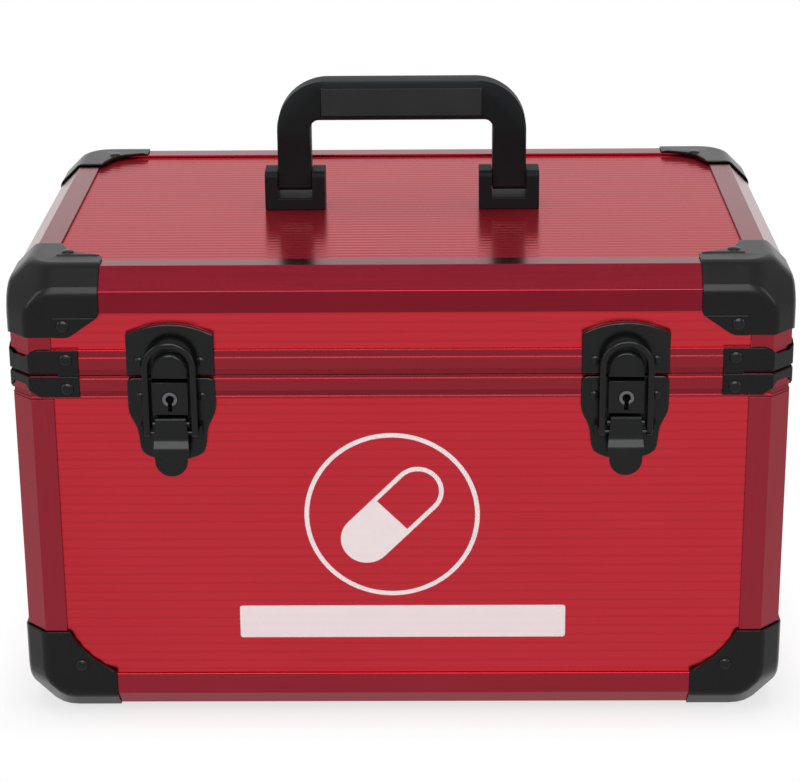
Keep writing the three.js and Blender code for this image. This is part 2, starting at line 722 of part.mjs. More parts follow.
const knuckleInner = HINGE_WIDTH / 2 - HINGE_OUTER_KNUCKLE;
const baseLeafReach = BASE_FRAME_HEIGHT - 0.4;
const lidLeafReach = LID_FRAME_HEIGHT - 0.6;
const baseLeaf = hingeLeaf(-1, baseLeafReach, 0, [
  [-HINGE_WIDTH / 2, -knuckleInner],
  [knuckleInner, HINGE_WIDTH / 2],
]).add(barAlongX(HINGE_PIN_RADIUS, -HINGE_WIDTH / 2, HINGE_WIDTH / 2, 0, HINGE_AXIS_OUT));
const bore = barAlongX(HINGE_PIN_RADIUS + CLEARANCE, -knuckleInner, knuckleInner, 0, HINGE_AXIS_OUT);
const lidKnuckle = knuckleInner - CLEARANCE;
const lidLeaf = hingeLeaf(1, 0, lidLeafReach, [[-lidKnuckle, lidKnuckle]]).subtract(bore);
for (const [side, sign] of [["left", -1], ["right", 1]]) {
  const group = new THREE.Group();
  group.position.set((sign * HINGE_SPACING) / 2, halfDepth, SEAM);
  group.rotation.set(Math.PI / 2, 0, Math.PI, "ZYX");
  raised.add(group);
  addMesh(group, side + "_hinge_base_leaf", toGeometry(baseLeaf), blackSteel);
  addMesh(group, side + "_hinge_lid_leaf", toGeometry(lidLeaf), blackSteel);
}

// Handle mounts: a rounded foot with two ears and the pin that the handle's leg turns on.
// Drawn with Z up from the top face of the case.
function roundedRectangle(halfX, halfY, radius) {
  const shape = new THREE.Shape();
  shape.moveTo(-halfX + radius, -halfY);
  shape.lineTo(halfX - radius, -halfY);
  shape.absarc(halfX - radius, -halfY + radius, radius, -Math.PI / 2, 0);
  shape.absarc(halfX - radius, halfY - radius, radius, 0, Math.PI / 2);
  shape.absarc(-halfX + radius, halfY - radius, radius, Math.PI / 2, Math.PI);
  shape.absarc(-halfX + radius, -halfY + radius, radius, Math.PI, 1.5 * Math.PI);
  return shape;
}

const legMiddle = HANDLE_HALF_WIDTH - HANDLE_LEG_WIDTH / 2;
const earInner = HANDLE_LEG_WIDTH / 2 + CLEARANCE;
const mountHalf = MOUNT_WIDTH / 2;
const mountFoot = frontBevelled(
  roundedRectangle(mountHalf, MOUNT_DEPTH / 2, MOUNT_ROUND),
  -BOARD_SINK + CLEARANCE, MOUNT_BASE_TOP, MOUNT_EDGE, 3,
);
const earHalf = MOUNT_DEPTH / 2;
const earCentre = MOUNT_EAR_TOP - MOUNT_EAR_ROUND;
const earSide = new THREE.Shape();
earSide.moveTo(-earHalf, 0);
earSide.lineTo(earHalf, 0);
earSide.absarc(earHalf - MOUNT_EAR_ROUND, earCentre, MOUNT_EAR_ROUND, 0, Math.PI / 2);
earSide.absarc(-earHalf + MOUNT_EAR_ROUND, earCentre, MOUNT_EAR_ROUND, Math.PI / 2, Math.PI);
const earPrism = prism(earSide, earInner, mountHalf, 0, 4);
const standUp = new THREE.Matrix4().makeBasis(AXES.back, AXES.up, AXES.right);
const ear = toSolid(earPrism.applyMatrix4(standUp));
const otherEar = toSolid(toGeometry(ear).rotateZ(Math.PI));
const mountPin = barAlongX(HANDLE_PIN_RADIUS, -mountHalf + 1, mountHalf - 1, 0, HANDLE_PIVOT_RISE);
const mountGeometry = toGeometry(join(mountFoot, ear, otherEar, mountPin));
for (const [side, sign] of [["left", -1], ["right", 1]]) {
  addMesh(raised, side + "_handle_mount", mountGeometry, blackPlastic)
    .position.set(sign * legMiddle, 0, HEIGHT);
}

// Handle
// The front outline and the side outline are two prisms, and the handle is what they share.
const gripBottom = HANDLE_TOP_RISE - HANDLE_GRIP_HEIGHT;
const innerHalf = HANDLE_HALF_WIDTH - HANDLE_LEG_WIDTH;
const archCentre = HANDLE_TOP_RISE - HANDLE_OUTER_RADIUS;
const archShape = new THREE.Shape();
archShape.moveTo(-HANDLE_HALF_WIDTH, -HANDLE_LEG_END);
archShape.lineTo(-innerHalf, -HANDLE_LEG_END);
archShape.absarc(-innerHalf + HANDLE_INNER_RADIUS, gripBottom - HANDLE_INNER_RADIUS,
  HANDLE_INNER_RADIUS, Math.PI, Math.PI / 2, true);
archShape.absarc(innerHalf - HANDLE_INNER_RADIUS, gripBottom - HANDLE_INNER_RADIUS,
  HANDLE_INNER_RADIUS, Math.PI / 2, 0, true);
archShape.lineTo(innerHalf, -HANDLE_LEG_END);
archShape.lineTo(HANDLE_HALF_WIDTH, -HANDLE_LEG_END);
archShape.absarc(HANDLE_HALF_WIDTH - HANDLE_OUTER_RADIUS, archCentre,
  HANDLE_OUTER_RADIUS, 0, Math.PI / 2);
archShape.absarc(-HANDLE_HALF_WIDTH + HANDLE_OUTER_RADIUS, archCentre,
  HANDLE_OUTER_RADIUS, Math.PI / 2, Math.PI);
const arch = prism(archShape, -HANDLE_DEPTH / 2, HANDLE_DEPTH / 2, HANDLE_EDGE, 8);
const uprightFront = new THREE.Matrix4().makeBasis(AXES.right, AXES.up, AXES.front);
const legHalf = HANDLE_LEG_DEPTH / 2;
const legShoulder = gripBottom - HANDLE_INNER_RADIUS;
const sideForm = prismAlongX([
  [-legHalf + HANDLE_LEG_CHAMFER, -HANDLE_LEG_END], [legHalf - HANDLE_LEG_CHAMFER, -HANDLE_LEG_END],
  [legHalf, -HANDLE_LEG_END + HANDLE_LEG_CHAMFER], [legHalf, legShoulder / 2],
  [HANDLE_DEPTH / 2 + 1, legShoulder], [HANDLE_DEPTH / 2 + 1, HANDLE_TOP_RISE + 1],
  [-HANDLE_DEPTH / 2 - 1, HANDLE_TOP_RISE + 1], [-HANDLE_DEPTH / 2 - 1, legShoulder],
  [-legHalf, legShoulder / 2], [-legHalf, -HANDLE_LEG_END + HANDLE_LEG_CHAMFER],
], -HANDLE_HALF_WIDTH - 1, HANDLE_HALF_WIDTH + 1);

const gripHalf = GRIP_LENGTH / 2;
const gripLow = gripBottom + GRIP_BORDER;
const gripHigh = HANDLE_TOP_RISE - GRIP_BORDER - 0.6;
const gripWebLow = gripLow + 4;
const gripWebHigh = gripHigh - 4;
const gripWebHalf = gripHalf - 8;
const pocketDepth = HANDLE_DEPTH / 2 - GRIP_RECESS;
const gripSpace = (gap) => [1, -1].map((side) => {
  const [near, far] = [side * (pocketDepth - gap), side * (HANDLE_DEPTH / 2 + (gap > 0 ? 1 : GRIP_PROUD))];
  return box(
    [-gripHalf - gap, Math.min(near, far), gripLow - gap],
    [gripHalf + gap, Math.max(near, far), gripHigh + gap],
  );
});
const gripWeb = (gap) => box(
  [-gripWebHalf - gap, -pocketDepth - 1, gripWebLow - gap],
  [gripWebHalf + gap, pocketDepth + 1, gripWebHigh + gap],
);
const legBore = barAlongX(HANDLE_PIN_RADIUS + CLEARANCE, -HANDLE_HALF_WIDTH - 1, HANDLE_HALF_WIDTH + 1, 0, 0);
const handleSolid = cut(
  toSolid(arch.applyMatrix4(uprightFront)).intersect(sideForm),
  ...gripSpace(CLEARANCE), gripWeb(CLEARANCE), legBore,
);
const handleGroup = new THREE.Group();
handleGroup.position.z = HEIGHT + HANDLE_PIVOT_RISE;
raised.add(handleGroup);
addMesh(handleGroup, "handle_body", toGeometry(handleSolid), blackPlastic);
addMesh(handleGroup, "handle_grip", toGeometry(join(...gripSpace(0), gripWeb(0))), softGrip);

// Latches
// Drawn with Y up from the seam and Z outwards from the front faces of the closing frames.
const boardGap = -BOARD_SINK + CLEARANCE;
const crownRadius = (PLATE_HALF ** 2 + CATCH_CROWN ** 2) / (2 * CATCH_CROWN);
const crownAngle = Math.asin(PLATE_HALF / crownRadius);

function catchOutline(bottom) {
  const shape = new THREE.Shape();
  shape.moveTo(-PLATE_HALF, bottom);
  shape.lineTo(PLATE_HALF, bottom);
  shape.absarc(0, CATCH_SHOULDER + CATCH_CROWN - crownRadius, crownRadius,
    Math.PI / 2 - crownAngle, Math.PI / 2 + crownAngle);
  return shape;
}

const noseShape = new THREE.Shape();
noseShape.moveTo(-NOSE_HALF, NOSE_BOTTOM);
noseShape.lineTo(NOSE_HALF, NOSE_BOTTOM);
noseShape.absarc(0, NOSE_RISE - NOSE_HALF, NOSE_HALF, 0, Math.PI);
const catchSolid = join(
  frontBevelled(catchOutline(PLATE_SEAM_GAP), CLEARANCE, CLEARANCE + PLATE_THICK, PLATE_EDGE),
  toSolid(prism(catchOutline(LID_FRAME_HEIGHT + CLEARANCE), boardGap, CLEARANCE + PLATE_THICK / 2)),
  frontBevelled(noseShape, CLEARANCE + PLATE_THICK / 2, NOSE_FRONT, NOSE_EDGE, 12),
);

function latchOutline(top) {
  return softOutline([
    [-PLATE_HALF, top],
    [-PLATE_HALF, -LATCH_SHOULDER_DROP],
    [-LATCH_WAIST_HALF, -LATCH_WAIST_DROP],
    [-LATCH_HEEL_HALF, -LATCH_HEEL_DROP],
    [-LATCH_TOE_HALF, -LATCH_TOE_DROP],
    [LATCH_TOE_HALF, -LATCH_TOE_DROP],
    [LATCH_HEEL_HALF, -LATCH_HEEL_DROP],
    [LATCH_WAIST_HALF, -LATCH_WAIST_DROP],
    [PLATE_HALF, -LATCH_SHOULDER_DROP],
    [PLATE_HALF, top],
  ], PLATE_ROUND);
}

const plateFace = CLEARANCE + PLATE_THICK;
const housing = frontBevelled(
  outline([
    [-HOUSING_HALF, -HOUSING_BOTTOM_DROP],
    [HOUSING_HALF, -HOUSING_BOTTOM_DROP],
    [HOUSING_HALF, -HOUSING_TOP_DROP],
    [-HOUSING_HALF, -HOUSING_TOP_DROP],
  ]),
  CLEARANCE, HOUSING_FRONT, HOUSING_EDGE,
);
const pocketHalf = HOUSING_HALF - HOUSING_WALL;
const pocket = box(
  [-pocketHalf, -HOUSING_BOTTOM_DROP - 1, plateFace],
  [pocketHalf, -HOUSING_TOP_DROP - HOUSING_WALL, HOUSING_FRONT - HOUSING_WALL - 0.6],
);
const keyway = box(
  [-KEYHOLE_SLOT_HALF, -PLUG_DROP - KEYWAY_DROP, HOUSING_FRONT - HOUSING_WALL - 1],
  [KEYHOLE_SLOT_HALF, -PLUG_DROP, HOUSING_FRONT + 1],
);
const plugHole = barAlongZ(PLUG_RADIUS + CLEARANCE, plateFace, HOUSING_FRONT + 1, 0, -PLUG_DROP);
const lugInner = LEVER_TOP_HALF + LUG_GAP;

function pivotLug(sign) {
  const [from, to] = spanOnSide(sign, lugInner, HOUSING_HALF);
  const stem = box(
    [from, -LEVER_PIVOT_DROP - LUG_RADIUS, CLEARANCE],
    [to, -LEVER_PIVOT_DROP + LUG_RADIUS, LEVER_PIVOT_OUT],
  );
  const end = barAlongX(LUG_RADIUS, from, to, -LEVER_PIVOT_DROP, LEVER_PIVOT_OUT);
  const holeRadius = LEVER_PIN_RADIUS + CLEARANCE;
  const hole = barAlongX(holeRadius, from - 1, to + 1, -LEVER_PIVOT_DROP, LEVER_PIVOT_OUT, 12);
  return stem.add(end).subtract(hole);
}

const earFrom = BAIL_HALF + EAR_GAP;
function guardEar(sign) {
  const [from, to] = spanOnSide(sign, earFrom, earFrom + EAR_THICK);
  return prismAlongX([
    [-EAR_BOTTOM_DROP, CLEARANCE], [-EAR_TOP_DROP, CLEARANCE],
    [-EAR_TOP_DROP - EAR_SLOPE, EAR_FRONT], [-EAR_BOTTOM_DROP + EAR_SLOPE, EAR_FRONT],
  ], from, to);
}

const latchPlateSolid = join(
  frontBevelled(latchOutline(-CLEARANCE), CLEARANCE, plateFace, PLATE_EDGE, 2),
  toSolid(prism(latchOutline(-BASE_FRAME_HEIGHT - CLEARANCE), boardGap, plateFace / 2, 0, 2)),
  cut(housing, pocket, plugHole, keyway),
  pivotLug(-1), pivotLug(1), guardEar(-1), guardEar(1),
);

// The lever: a folded sheet with a finger tab, seen from the side, cut to its front outline.
const leverBack = LEVER_FRONT - LEVER_SHEET;

// The line of the sheet's fold, which steps outwards in an S between the bend and the tab.
function foldLine(out, lag) {
  const points = [];
  for (let k = 0; k <= LEVER_FOLD_STEPS; k += 1) {
    const share = k / LEVER_FOLD_STEPS;
    const drop = LEVER_BEND_DROP + lag + (LEVER_STEP_DROP - LEVER_BEND_DROP) * share;
    points.push([-drop, out + TAB_OUT * share * share * (3 - 2 * share)]);
  }
  return points;
}

const foldedSheet = prismAlongX([
  [-LEVER_TOP_DROP, leverBack],
  ...foldLine(leverBack, CLEARANCE),
  [-TAB_TIP_DROP - 1, leverBack + TAB_OUT],
  [-TAB_TIP_DROP - 1, LEVER_FRONT + TAB_OUT],
  ...foldLine(LEVER_FRONT, 0).reverse(),
  [-LEVER_TOP_DROP - LEVER_TOP_CHAMFER, LEVER_FRONT],
  [-LEVER_TOP_DROP, LEVER_FRONT - LEVER_TOP_CHAMFER],
], -LEVER_STEP_HALF - 1, LEVER_STEP_HALF + 1);
const leverFace = new THREE.Shape();
leverFace.moveTo(-LEVER_TOP_HALF, -LEVER_TOP_DROP);
leverFace.lineTo(-LEVER_STEP_HALF, -LEVER_STEP_DROP);
leverFace.lineTo(-TAB_HALF, -LEVER_STEP_DROP - 3);
leverFace.absarc(0, -TAB_TIP_DROP + TAB_HALF, TAB_HALF, Math.PI, 2 * Math.PI);
leverFace.lineTo(TAB_HALF, -LEVER_STEP_DROP - 3);
leverFace.lineTo(LEVER_STEP_HALF, -LEVER_STEP_DROP);
leverFace.lineTo(LEVER_TOP_HALF, -LEVER_TOP_DROP);
const sheet = foldedSheet.intersect(toSolid(prism(leverFace, CLEARANCE, LEVER_FRONT + 2 * TAB_OUT)));

function leverCheek(sign) {
  const outer = LEVER_TOP_HALF - CHEEK_INSET;
  const [from, to] = spanOnSide(sign, outer - LEVER_SHEET, outer);
  return prismAlongX([
    [-LEVER_PIVOT_DROP + LUG_RADIUS, LEVER_FRONT - 0.5],
    [-LEVER_PIVOT_DROP + LUG_RADIUS, LEVER_PIVOT_OUT],
    [-LEVER_PIVOT_DROP + 1, CHEEK_BACK],
    [-BAIL_PIVOT_DROP - 4, CHEEK_BACK],
    [-LEVER_STEP_DROP + 2, leverBack + 0.6],
    [-LEVER_BEND_DROP, LEVER_FRONT - 0.5],
  ], from, to);
}

const leverPinEnd = HOUSING_HALF + PIN_PROUD;
const bailPinEnd = BAIL_HALF + PIN_PROUD;
const leverSolid = join(
  sheet, leverCheek(-1), leverCheek(1),
  barAlongX(LEVER_PIN_RADIUS, -leverPinEnd, leverPinEnd, -LEVER_PIVOT_DROP, LEVER_PIVOT_OUT, 12),
  barAlongX(BAIL_PIN_RADIUS, -bailPinEnd, bailPinEnd, -BAIL_PIVOT_DROP, BAIL_PIVOT_OUT, 12),
);

// The bail: a flat wire loop with an eye at the foot of each leg.
const bailInner = BAIL_HALF - BAIL_STRIP;
const bailCentre = BAIL_TOP_RISE - BAIL_HALF;
const bailShape = new THREE.Shape();
bailShape.moveTo(-BAIL_HALF, -BAIL_PIVOT_DROP);
bailShape.lineTo(-bailInner, -BAIL_PIVOT_DROP);
bailShape.absarc(0, bailCentre, bailInner, Math.PI, 0, true);
bailShape.lineTo(bailInner, -BAIL_PIVOT_DROP);
bailShape.lineTo(BAIL_HALF, -BAIL_PIVOT_DROP);
bailShape.absarc(0, bailCentre, BAIL_HALF, 0, Math.PI);
const eyes = [-1, 1].map((sign) => {
  const [from, to] = spanOnSide(sign, bailInner, BAIL_HALF);
  return barAlongX(BAIL_EYE_RADIUS, from, to, -BAIL_PIVOT_DROP, BAIL_PIVOT_OUT, 12);
});
const eyeHole = barAlongX(
  BAIL_PIN_RADIUS + CLEARANCE, -BAIL_HALF - 1, BAIL_HALF + 1, -BAIL_PIVOT_DROP, BAIL_PIVOT_OUT, 12,
);
const bailLoop = toSolid(prism(bailShape, BAIL_BACK, BAIL_BACK + BAIL_THICK, BAIL_EDGE, 6));
const bailSolid = join(bailLoop, ...eyes).subtract(eyeHole);

// The lock plug: a round face with a keyhole, a stem and a cam behind it.
const keyhole = new THREE.Shape();
keyhole.absarc(0, -PLUG_DROP, KEYHOLE_RADIUS, -Math.PI / 3, (4 * Math.PI) / 3);
keyhole.lineTo(-KEYHOLE_SLOT_HALF, -PLUG_DROP - KEYWAY_DROP);
keyhole.lineTo(KEYHOLE_SLOT_HALF, -PLUG_DROP - KEYWAY_DROP);
const plugFace = HOUSING_FRONT + PLUG_PROUD;
const camBack = plateFace + 1;
const plugSolid = join(
  barAlongZ(PLUG_RADIUS, HOUSING_FRONT - HOUSING_WALL - 1.2, plugFace, 0, -PLUG_DROP),
  barAlongZ(2, camBack, HOUSING_FRONT - HOUSING_WALL, 0, -PLUG_DROP, 12),
  box(
    [0, -PLUG_DROP - CAM_WIDTH / 2, camBack],
    [CAM_REACH, -PLUG_DROP + CAM_WIDTH / 2, camBack + CAM_THICK],
  ),
).subtract(toSolid(prism(keyhole, HOUSING_FRONT - 2, plugFace + 1)));

for (const [side, sign] of [["left", -1], ["right", 1]]) {
  const group = new THREE.Group();
  group.position.set(sign * (halfWidth - LATCH_INSET) + LATCH_SHIFT, -halfDepth, SEAM);
  group.rotation.x = Math.PI / 2;
  raised.add(group);
  addMesh(group, side + "_catch_plate", toGeometry(catchSolid), blackSteel);
  addMesh(group, side + "_latch_plate", toGeometry(latchPlateSolid), blackSteel);
  addMesh(group, side + "_latch_lever", toGeometry(leverSolid), blackSteel);
  addMesh(group, side + "_latch_bail", toGeometry(bailSolid), blackSteel);
  addMesh(group, side + "_lock_plug", toGeometry(plugSolid), blackSteel);
}

export default part;
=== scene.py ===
# %% [markdown]
# # A lockable medicine case in red aluminium
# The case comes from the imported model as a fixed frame: every board, rail, corner and latch piece
# is already in place, in metres. This lesson dresses it: smooth moulded and pressed pieces,
# rivets, surface finishes, a floor, soft light and the camera.

# %% Load the fixed frame
import json
import math

import bmesh
import bpy
from mathutils import Matrix, Vector

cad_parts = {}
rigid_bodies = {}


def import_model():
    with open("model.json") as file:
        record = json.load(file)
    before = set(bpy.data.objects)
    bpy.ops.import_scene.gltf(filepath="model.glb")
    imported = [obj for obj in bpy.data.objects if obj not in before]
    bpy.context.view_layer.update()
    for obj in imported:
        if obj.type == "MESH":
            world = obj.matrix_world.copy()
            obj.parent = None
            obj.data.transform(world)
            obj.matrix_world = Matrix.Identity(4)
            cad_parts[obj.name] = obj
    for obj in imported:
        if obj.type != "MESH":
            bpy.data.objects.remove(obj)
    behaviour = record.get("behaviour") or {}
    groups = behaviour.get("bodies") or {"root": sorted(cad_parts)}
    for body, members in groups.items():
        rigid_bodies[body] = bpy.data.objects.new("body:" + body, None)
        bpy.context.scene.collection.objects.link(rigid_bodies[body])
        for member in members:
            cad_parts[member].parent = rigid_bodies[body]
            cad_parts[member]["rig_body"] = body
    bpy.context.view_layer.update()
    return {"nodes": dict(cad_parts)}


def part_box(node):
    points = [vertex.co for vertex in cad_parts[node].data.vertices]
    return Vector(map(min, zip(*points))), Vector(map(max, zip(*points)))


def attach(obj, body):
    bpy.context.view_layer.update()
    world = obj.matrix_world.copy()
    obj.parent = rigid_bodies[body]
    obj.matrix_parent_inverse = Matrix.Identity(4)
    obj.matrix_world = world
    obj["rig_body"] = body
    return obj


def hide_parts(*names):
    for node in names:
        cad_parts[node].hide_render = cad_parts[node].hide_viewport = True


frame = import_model()
nodes = frame["nodes"]
MM = 0.001
print("pieces in the frame:", len(nodes))


# %% [markdown]
# ## The camera
# The photograph was taken from in front and a little above. Its place and turn were worked out
# from the straight edges of the case, in millimetres. The lens follows from the picture's width:
# a focal length of 2440.6 pixels on an 800 pixel wide picture, on a 36 mm sensor.

# %% Set the camera
case_low, case_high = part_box("base_closing_frame")
case_middle = (case_low + case_high) / 2
CORNER_WALL = 1.5 * MM
PICTURE_WIDTH = 800
FOCAL_PIXELS = 2440.6
SENSOR = 36.0
CAMERA_REACH = 20
CAMERA_FROM_CASE = Vector((17.0, -1304.4, 602.4)) * MM
YAW, PITCH, ROLL = (math.radians(angle) for angle in (-0.843, 19.704, 0.505))

forward = Vector((math.sin(YAW) * math.cos(PITCH), math.cos(YAW) * math.cos(PITCH),
                  -math.sin(PITCH)))
level = Vector((math.cos(YAW), -math.sin(YAW), 0.0))
down = forward.cross(level)
rolled_right = math.cos(ROLL) * level + math.sin(ROLL) * down
rolled_down = -math.sin(ROLL) * level + math.cos(ROLL) * down
camera_data = bpy.data.cameras.new("photo_camera")
camera_data.lens = FOCAL_PIXELS * SENSOR / PICTURE_WIDTH
camera_data.sensor_width = SENSOR
camera_data.clip_end = CAMERA_REACH
camera = bpy.data.objects.new("photo_camera", camera_data)
turn = Matrix((rolled_right, -rolled_down, -forward)).transposed().to_4x4()
stand = Vector((case_middle.x, case_middle.y, CORNER_WALL)) + CAMERA_FROM_CASE
camera.matrix_world = Matrix.Translation(stand) @ turn
bpy.context.scene.collection.objects.link(camera)
bpy.context.scene.camera = camera
print("lens", round(camera_data.lens, 1), "mm, camera at", [round(v, 3) for v in stand])


# %% [markdown]
# ## Nodes
# A material or a world is a tree of nodes. Two small helpers keep the rest readable: one turns the
# colours that a screen shows into the linear ones that Blender reckons with, and one adds a node
# with its settings and links.

# %% Helpers for colours and nodes
def to_linear(hex_colour):
    """An sRGB hex value such as "b92e37" as linear red, green, blue and alpha."""
    channels = [int(hex_colour[k:k + 2], 16) / 255 for k in (0, 2, 4)]
    linear = [c / 12.92 if c <= 0.04045 else ((c + 0.055) / 1.055) ** 2.4 for c in channels]
    return (*linear, 1.0)


def add_node(tree, kind, settings=None, inputs=None):
    """Adds one node with its settings. Each input gets a value, or a link from a socket or node."""
    node = tree.nodes.new(kind)
    for name, value in (settings or {}).items():
        setattr(node, name, value)
    for name, value in (inputs or {}).items():
        if isinstance(value, bpy.types.Node):
            value = next(socket for socket in value.outputs if socket.enabled)
        if isinstance(value, bpy.types.NodeSocket):
            tree.links.new(value, node.inputs[name])
        else:
            node.inputs[name].default_value = value
    return node


print("mid red in linear light:", [round(c, 3) for c in to_linear("b92e37")])


# %% [markdown]
# ## Background and light
# The case stands on a white sweep. The world is plain white to the camera, in reflections and
# through glass, and dimmer as a lamp, so that soft shadows stay. Four soft lamps shape the faces.
# The overhead one lights without showing as a glare on the top, the front card shows only in
# reflections, as a studio's reflector does, and two narrow ones light the sides.

# %% World
WORLD_AS_LAMP = 0.55


def seen_directly(tree):
    """1 for what the camera sees, also in a mirror or through glass, and 0 for light that falls."""
    ray = add_node(tree, "ShaderNodeLightPath")
    seen = ray.outputs["Is Camera Ray"]
    for kind in ("Is Glossy Ray", "Is Transmission Ray"):
        seen = add_node(tree, "ShaderNodeMath", {"operation": "MAXIMUM"},
                        {0: seen, 1: ray.outputs[kind]}).outputs[0]
    return seen


world = bpy.data.worlds.new("white_sweep")
bpy.context.scene.world = world
world.use_nodes = True
sky = world.node_tree
background = sky.nodes["Background"]
background.inputs["Color"].default_value = (1, 1, 1, 1)
strength = add_node(sky, "ShaderNodeMapRange", None,
                    {"Value": seen_directly(sky), "To Min": WORLD_AS_LAMP, "To Max": 1.0})
sky.links.new(strength.outputs[0], background.inputs["Strength"])
bpy.context.scene.view_settings.view_transform = "Standard"
print("world:", world.name, "with", len(sky.nodes), "nodes")


# %% Lamps
def add_lamp(name, place, size, watts):
    """A soft rectangular lamp that faces the heart of the case."""
    data = bpy.data.lights.new(name, "AREA")
    data.shape = "RECTANGLE"
    data.size, data.size_y = size
    data.energy = watts
    lamp = bpy.data.objects.new(name, data)
    aim = (Vector(CASE_HEART) - Vector(place)).to_track_quat("-Z", "Y")
    lamp.matrix_world = Matrix.Translation(place) @ aim.to_matrix().to_4x4()
    lamp.visible_camera = False
    bpy.context.scene.collection.objects.link(lamp)
    return lamp


CASE_HEART = (0, 0, 0.15)
STRIP_SIZE = (0.3, 0.9)
softbox = add_lamp("overhead_softbox", (0.0, 0.15, 1.6), size=(1.6, 0.9), watts=13)
softbox.visible_glossy = False
gloss_card = add_lamp("front_gloss_card", (0.0, -1.4, 1.3), size=(1.4, 1.5), watts=40)
gloss_card.visible_diffuse = False
add_lamp("left_strip_light", (-1.3, -0.7, 0.85), size=STRIP_SIZE, watts=6)
add_lamp("right_strip_light", (1.3, -0.7, 0.85), size=STRIP_SIZE, watts=5)


# %% [markdown]
# ## Floor
# The floor is matt white paper. To the camera it glows plain white, apart from a narrow band round
# the case, where some of the real shadow shows and then fades out.

# %% Helpers for finishes
def new_material(name, **settings):
    """A Principled material, and its tree and shader, with constants on the shader's sockets."""
    material = bpy.data.materials.new(name)
    material.use_nodes = True
    tree = material.node_tree
    shader = tree.nodes["Principled BSDF"]
    for socket, value in settings.items():
        shader.inputs[socket.replace("_", " ")].default_value = value
    return material, tree, shader


def outside_box(tree, place, middle, half):
    """How far a place lies outside a box with this middle and half size, and 0 within it."""
    for operation, value in (("SUBTRACT", middle), ("ABSOLUTE", (0, 0, 0)),
                             ("SUBTRACT", half), ("MAXIMUM", (0, 0, 0))):
        place = add_node(tree, "ShaderNodeVectorMath", {"operation": operation},
                         {0: place, 1: value})
    return add_node(tree, "ShaderNodeVectorMath", {"operation": "LENGTH"}, {0: place})


half_width = (case_high.x - case_low.x) / 2
half_depth = (case_high.y - case_low.y) / 2
print("half the case:", round(half_width / MM, 1), "by", round(half_depth / MM, 1), "mm")


# %% Floor
FLOOR_SHADE = 0.3
SHADE_REACH = 0.035
FLOOR_SIZE = 9.0
ANY = 1.0  # a half size, in metres, that leaves an axis out of a box

# White paper: pressed fibres scatter all light, so it shows no highlight.
floor_paper, floor_tree, floor_shader = new_material(
    "white_paper", Roughness=0.9, Specular_IOR_Level=0.1, Base_Color=to_linear("fafafa"))
white = add_node(floor_tree, "ShaderNodeEmission", None, {"Color": (1, 1, 1, 1), "Strength": 1.0})
floor_place = add_node(floor_tree, "ShaderNodeTexCoord").outputs["Object"]
away = outside_box(floor_tree, floor_place, case_middle, (half_width, half_depth, ANY))
whiteness = add_node(floor_tree, "ShaderNodeMapRange", {"interpolation_type": "SMOOTHSTEP"},
                     {"Value": away, "From Max": SHADE_REACH, "To Min": 1 - FLOOR_SHADE})
share = add_node(floor_tree, "ShaderNodeMath", {"operation": "MULTIPLY"},
                 {0: seen_directly(floor_tree), 1: whiteness})
paper = add_node(floor_tree, "ShaderNodeMixShader", None, {0: share, 1: floor_shader, 2: white})
floor_tree.links.new(paper.outputs[0], floor_tree.nodes["Material Output"].inputs["Surface"])

floor_mesh = bpy.data.meshes.new("floor")
floor_sketch = bmesh.new()
bmesh.ops.create_grid(floor_sketch, x_segments=1, y_segments=1, size=FLOOR_SIZE / 2)
floor_sketch.to_mesh(floor_mesh)
floor_sketch.free()
floor_mesh.materials.append(floor_paper)
floor = bpy.data.objects.new("floor", floor_mesh)
bpy.context.scene.collection.objects.link(floor)
print("floor:", FLOOR_SIZE, "m wide, shade within", SHADE_REACH, "m of the case")


# %% [markdown]
# ## Anodised aluminium
# Every pattern here reads object coordinates. All pieces sit at the origin, so these are places
# on the case, in metres, and a pattern's scale is one over its real size.
#
# The boards are thin aluminium sheet and the rails are extrusions, both anodised: a bath grows a
# clear oxide on the bright metal, and the oxide is dyed red. The eye sees a deep red metal with
# a thin glassy gloss over it. So the shader is a metal in the dye's red, under a faint coat.
# Rolling and drawing leave fine marks along the stock, which draw its highlights out.

# %% The anodised finish
MARK_MM = 0.8  # real marks are finer than 0.1 mm, which wouldn't show
CLOUD_MM, CLOUD_SHARE = 70, 0.4
MARK_STRENGTH, MARK_DEPTH = 0.15, 0.03 * MM
OXIDE_IOR, OXIDE_ROUGHNESS = 1.6, 0.22
# Painted shade: the dark red mixed into the grooves, the flutes, the seam and the brackets' slits.
GROOVE_PAINTED_SHADE = "2e060c"


def noise_at(tree, place, size_mm, stretch=(1, 1, 1), detail=3.0):
    """Noise whose blobs are about size_mm, drawn out along an axis by its stretch."""
    scaled = add_node(tree, "ShaderNodeMapping", None,
                      {"Vector": place, "Scale": tuple(1 / s for s in stretch)})
    return add_node(tree, "ShaderNodeTexNoise", None,
                    {"Vector": scaled, "Scale": 1 / (size_mm * MM), "Detail": detail})


